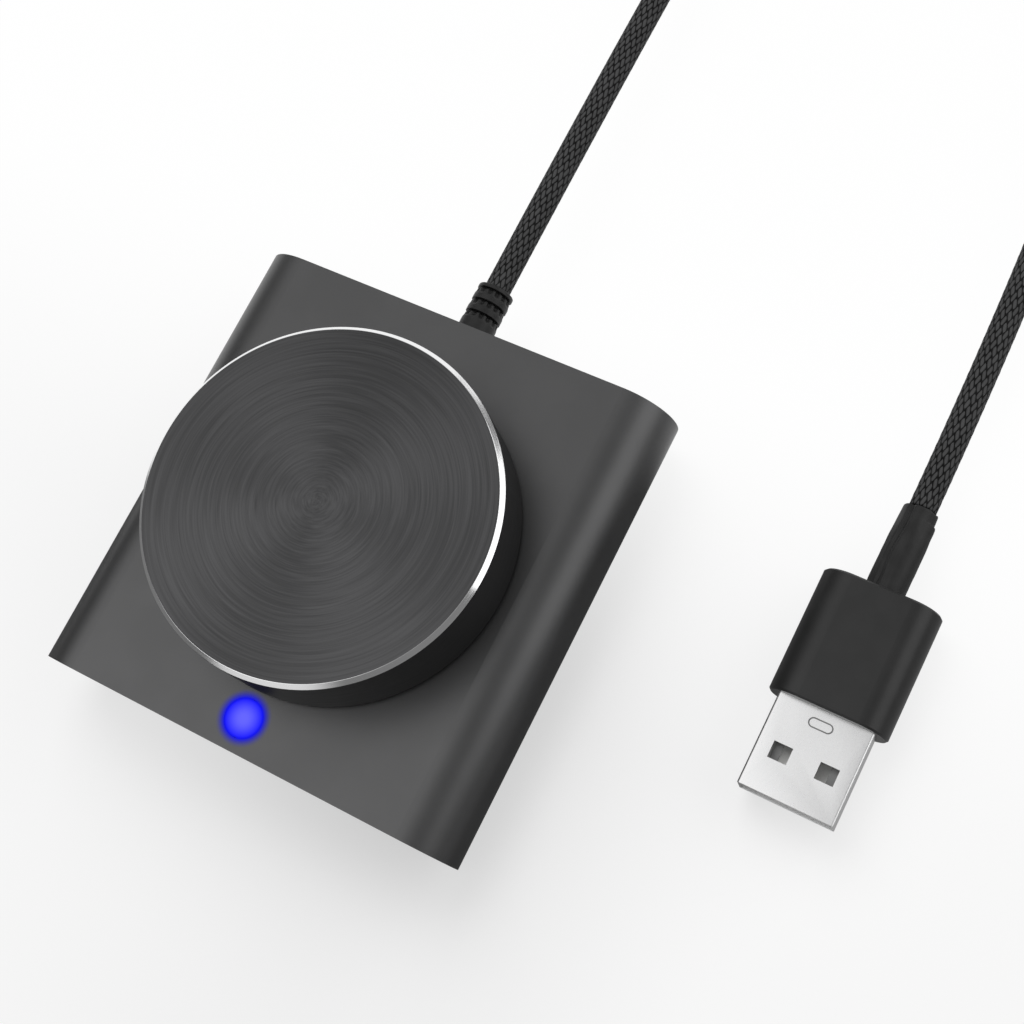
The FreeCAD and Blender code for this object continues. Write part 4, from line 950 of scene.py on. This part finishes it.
def shell_tube():
    """The sheet as a tube with eased edges at its mouth."""
    outer = (SHELL_WIDTH, SHELL_HEIGHT, SHELL_BEND + SHELL_SHEET)
    inner = (SHELL_WIDTH - 2 * SHELL_SHEET, SHELL_HEIGHT - 2 * SHELL_SHEET, SHELL_BEND)

    def shrunk(size, by):
        return size[0] - 2 * by, size[1] - 2 * by, size[2] - by

    loops = [
        rounded(*outer, SHELL_ROOT), rounded(*outer, SHELL_TIP + SHELL_EASE),
        rounded(*shrunk(outer, SHELL_EASE), SHELL_TIP), rounded(*shrunk(inner, -SHELL_EASE), SHELL_TIP),
        rounded(*inner, SHELL_TIP + SHELL_EASE), rounded(*inner, SHELL_ROOT),
    ]
    points = [point for loop in loops for point in loop]
    return loose_mesh("shell", points, quads(len(loops), len(loops[0]), closed=True))


def shell_cutters():
    """The oval's groove, the fold's seam underneath and the latch holes through both broad sides."""
    cutters = [oval_groove(), block("seam_cut", PLUG_X - SEAM_HALF_WIDTH, PLUG_X + SEAM_HALF_WIDTH,
                                    SHELL_TIP - CUT_PAST, SHELL_ROOT + CUT_PAST,
                                    SHELL_BOTTOM - CUT_PAST, SHELL_BOTTOM + SEAM_DEPTH)]
    for side in (-1, 1):
        x = PLUG_X + side * LATCH_X
        cutters.append(block("latch_cut", x - LATCH[0] / 2, x + LATCH[0] / 2,
                             LATCH_Y - LATCH[1] / 2, LATCH_Y + LATCH[1] / 2,
                             SHELL_BOTTOM - CUT_PAST, SHELL_TOP + CUT_PAST))
    return cutters


def make_shell():
    """Folded sheet: a tube with a pressed oval, four latch holes and the fold's seam underneath."""
    tube, cutters = shell_tube(), shell_cutters()
    for cutter in cutters:
        change = tube.modifiers.new("cut", "BOOLEAN")
        change.operation = "DIFFERENCE"
        change.solver = "EXACT"
        change.object = cutter
    bpy.context.view_layer.update()
    depsgraph = bpy.context.evaluated_depsgraph_get()
    mesh = bpy.data.meshes.new_from_object(tube.evaluated_get(depsgraph))
    for spent in [tube] + cutters:
        bpy.data.objects.remove(spent)
    mesh.materials.clear()
    mesh.materials.append(FINISHES["shell_nickel"])
    finish_mesh(mesh, 30.0)
    shell = link(bpy.data.objects.new("shell_folded", mesh))
    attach(shell, "base")
    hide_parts("plug_shell")
    return shell


shell = make_shell()


# ---------------------------------------------------------------- snap dome of the push switch
DOME_REACH = 2.7                    # from its middle to each end
DOME_WIDTH = 3.0
DOME_CROWN = 1.2                    # half the length of its flat crown
DOME_FOOT = 2.5                     # from its middle to where each foot begins
DOME_BASE_Z = 6.2
DOME_TOP_Z = 6.95
DOME_SHEET = 0.1
DOME_STEPS = 36


def make_dome():
    """A thin blade with flat feet, pressed into an arch that the plunger flattens."""
    half = DOME_WIDTH / 2
    rise = DOME_TOP_Z - DOME_BASE_Z - DOME_SHEET
    rings = []
    for k in range(DOME_STEPS + 1):
        x = DOME_REACH * (2 * k / DOME_STEPS - 1)
        low = DOME_BASE_Z + rise * (1 - smooth(DOME_CROWN, DOME_FOOT, abs(x)))
        top = low + DOME_SHEET
        rings.append([(x, -half, low), (x, half, low), (x, half, top), (x, -half, top)])
    points, faces = skin(rings)
    dome = mesh_piece("snap_dome", points, faces, [FINISHES["spring_brass"]])
    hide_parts("switch_dome")
    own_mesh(dome)


make_dome()


# ---------------------------------------------------------------- floor, lights and surroundings
FLOOR_HALF = 3.0                    # metres, half its side
FLOOR_Z = -0.02                     # just under the feet and the plug, so that no two faces share a plane
FLOOR_MIDDLE = (20.0, 10.0, 0.0)
SOFTBOX_DISTANCE = 0.6              # metres


def floor_painted_light_share(g, x, y):
    """Share of painted white light on the floor where it is looked at, which lightens the object's shadow:
    most at the back, at both sides and far away.
    """
    back = g.ramp(y, -10.0, 45.0)
    paler = g.math("MAXIMUM", g.ramp(x, 22.0, -28.0, 0.0, 0.17), g.ramp(x, 36.0, 64.0, 0.0, 0.17))
    share = g.math("MULTIPLY_ADD", back, 0.45, 0.52)
    share = g.math("MULTIPLY_ADD", paler, g.math("SUBTRACT", 1.0, back), share)
    far = g.add("VectorMath", {0: g.position(), 1: FLOOR_MIDDLE}, operation="DISTANCE").outputs["Value"]
    return g.math("MAXIMUM", share, g.ramp(far, 110.0, 420.0, 0.4, 1.0))


def floor_painted_reflection_share(g, x, y):
    """How white a gloss finds the floor, a painted reflection: white behind the object, and dark in front
    of it.
    """
    behind = g.ramp(g.math("MULTIPLY_ADD", x, -0.3, y), 12.0, 22.0)
    aside = g.math("MAXIMUM", behind, g.ramp(x, 48.0, 66.0, 0.0, 0.3))
    return g.math("MULTIPLY_ADD", aside, 0.96, 0.02)


def floor_finish():
    """Pale and matte. Painted light makes it look whiter than it is and lightens the object's shadow, and a
    painted reflection makes a gloss find it dark in front of the object.
    """
    g = Graph("floor")
    x, y, _ = g.split(g.position())
    rays = g.add("LightPath").outputs
    gloss = g.math("MAXIMUM", rays["Is Glossy Ray"], rays["Is Transmission Ray"])
    base = g.blend(g.noise(0.02, 2.0), grey(0.90), grey(0.93))
    # Painted reflection: in a gloss the floor's colour is dark grey.
    matte = g.add("BsdfDiffuse", {"Color": g.blend(g.math("MULTIPLY", gloss, 0.9), base, grey(0.12))})
    white = g.add("Emission", {"Color": grey(1.0), "Strength": 1.0})
    in_gloss = g.math("MULTIPLY", floor_painted_reflection_share(g, x, y), gloss)
    # Painted light: where looked at, the floor gets a share of white light that lightens the object's
    # shadow, most at the back and sides.
    seen = g.math("MULTIPLY", floor_painted_light_share(g, x, y), rays["Is Camera Ray"])
    g.surface(g.add("MixShader", {0: g.math("ADD", in_gloss, seen), 1: matte, 2: white}))
    return g.material


def make_floor():
    low = FLOOR_Z * MM
    corners = [(x * FLOOR_HALF, y * FLOOR_HALF, low) for x, y in ((-1, -1), (1, -1), (1, 1), (-1, 1))]
    mesh = bpy.data.meshes.new("floor")
    mesh.from_pydata(corners, [], [(0, 1, 2, 3)])
    mesh.materials.append(floor_finish())
    link(bpy.data.objects.new("floor", mesh))


def towards(azimuth, elevation):
    """The direction at an azimuth, 0 being +X and 90 +Y, and a height over the horizon, in degrees."""
    a, e = math.radians(azimuth), math.radians(elevation)
    return Vector((math.cos(e) * math.cos(a), math.cos(e) * math.sin(a), math.sin(e)))


def softbox(name, azimuth, elevation, width, height, radiance, in_gloss=True):
    """A soft panel facing the object, its sides in metres. A gloss shows it only with in_gloss."""
    data = bpy.data.lights.new(name, "AREA")
    data.shape = "RECTANGLE"
    data.size, data.size_y = width, height
    data.energy = radiance * math.pi * width * height
    lamp = link(bpy.data.objects.new(name, data))
    way = towards(azimuth, elevation)
    facing = way.to_track_quat("Z", "Y").to_matrix().to_4x4()
    lamp.matrix_world = Matrix.Translation(way * SOFTBOX_DISTANCE) @ facing
    lamp.visible_glossy = in_gloss


def panel(g, direction, azimuth, elevation, inner, outer):
    """1 within the inner angle, in degrees, of a place on the room's wall, and 0 past the outer one."""
    near = g.add("VectorMath", {0: direction, 1: towards(azimuth, elevation)}, operation="DOT_PRODUCT")
    return g.ramp(near.outputs["Value"], math.cos(math.radians(outer)), math.cos(math.radians(inner)))


PALE_WALLS = [                      # azimuth, elevation, inner angle, outer angle and how much paler
    (220, 60, 12, 48, 1.16), (258, 12, 14, 34, 0.55), (120, 8, 20, 50, 0.40),
]
DARK_WALLS = [                      # azimuth, elevation, inner angle and outer angle
    (88, 7, 6, 13), (192, 0, 14, 36),
]


def make_world():
    """The room: even light, and in a gloss a soft pattern of paler and darker walls."""
    world = bpy.data.worlds.new("studio")
    world.use_nodes = True
    world.cycles.sampling_method = "NONE"
    scene.world = world
    g = Graph("studio", world.node_tree)
    rays = g.add("LightPath").outputs
    direction = g.add("TexCoord").outputs["Generated"]
    _, _, height = g.split(direction)
    level = g.ramp(height, 0.2, 0.8, 0.18, 0.32)
    for *wall, paler in PALE_WALLS:
        level = g.math("MULTIPLY_ADD", panel(g, direction, *wall), paler, level)
    for wall in DARK_WALLS:
        level = g.math("MULTIPLY", level, g.math("MULTIPLY_ADD", panel(g, direction, *wall), -0.9, 1.0))
    tone = g.blend(rays["Is Glossy Ray"], grey(0.34), g.join(level, level, level))
    tone = g.blend(g.math("MAXIMUM", rays["Is Camera Ray"], rays["Is Transmission Ray"]), tone, grey(1.0))
    out = g.add("OutputWorld")
    g.put(out.inputs["Surface"], g.add("Background", {"Color": tone, "Strength": 1.0}))


make_floor()
make_world()
softbox("key", 132, 52, 0.5, 0.5, 3.0, in_gloss=False)
softbox("right", 38, 29, 0.78, 0.42, 1.3)
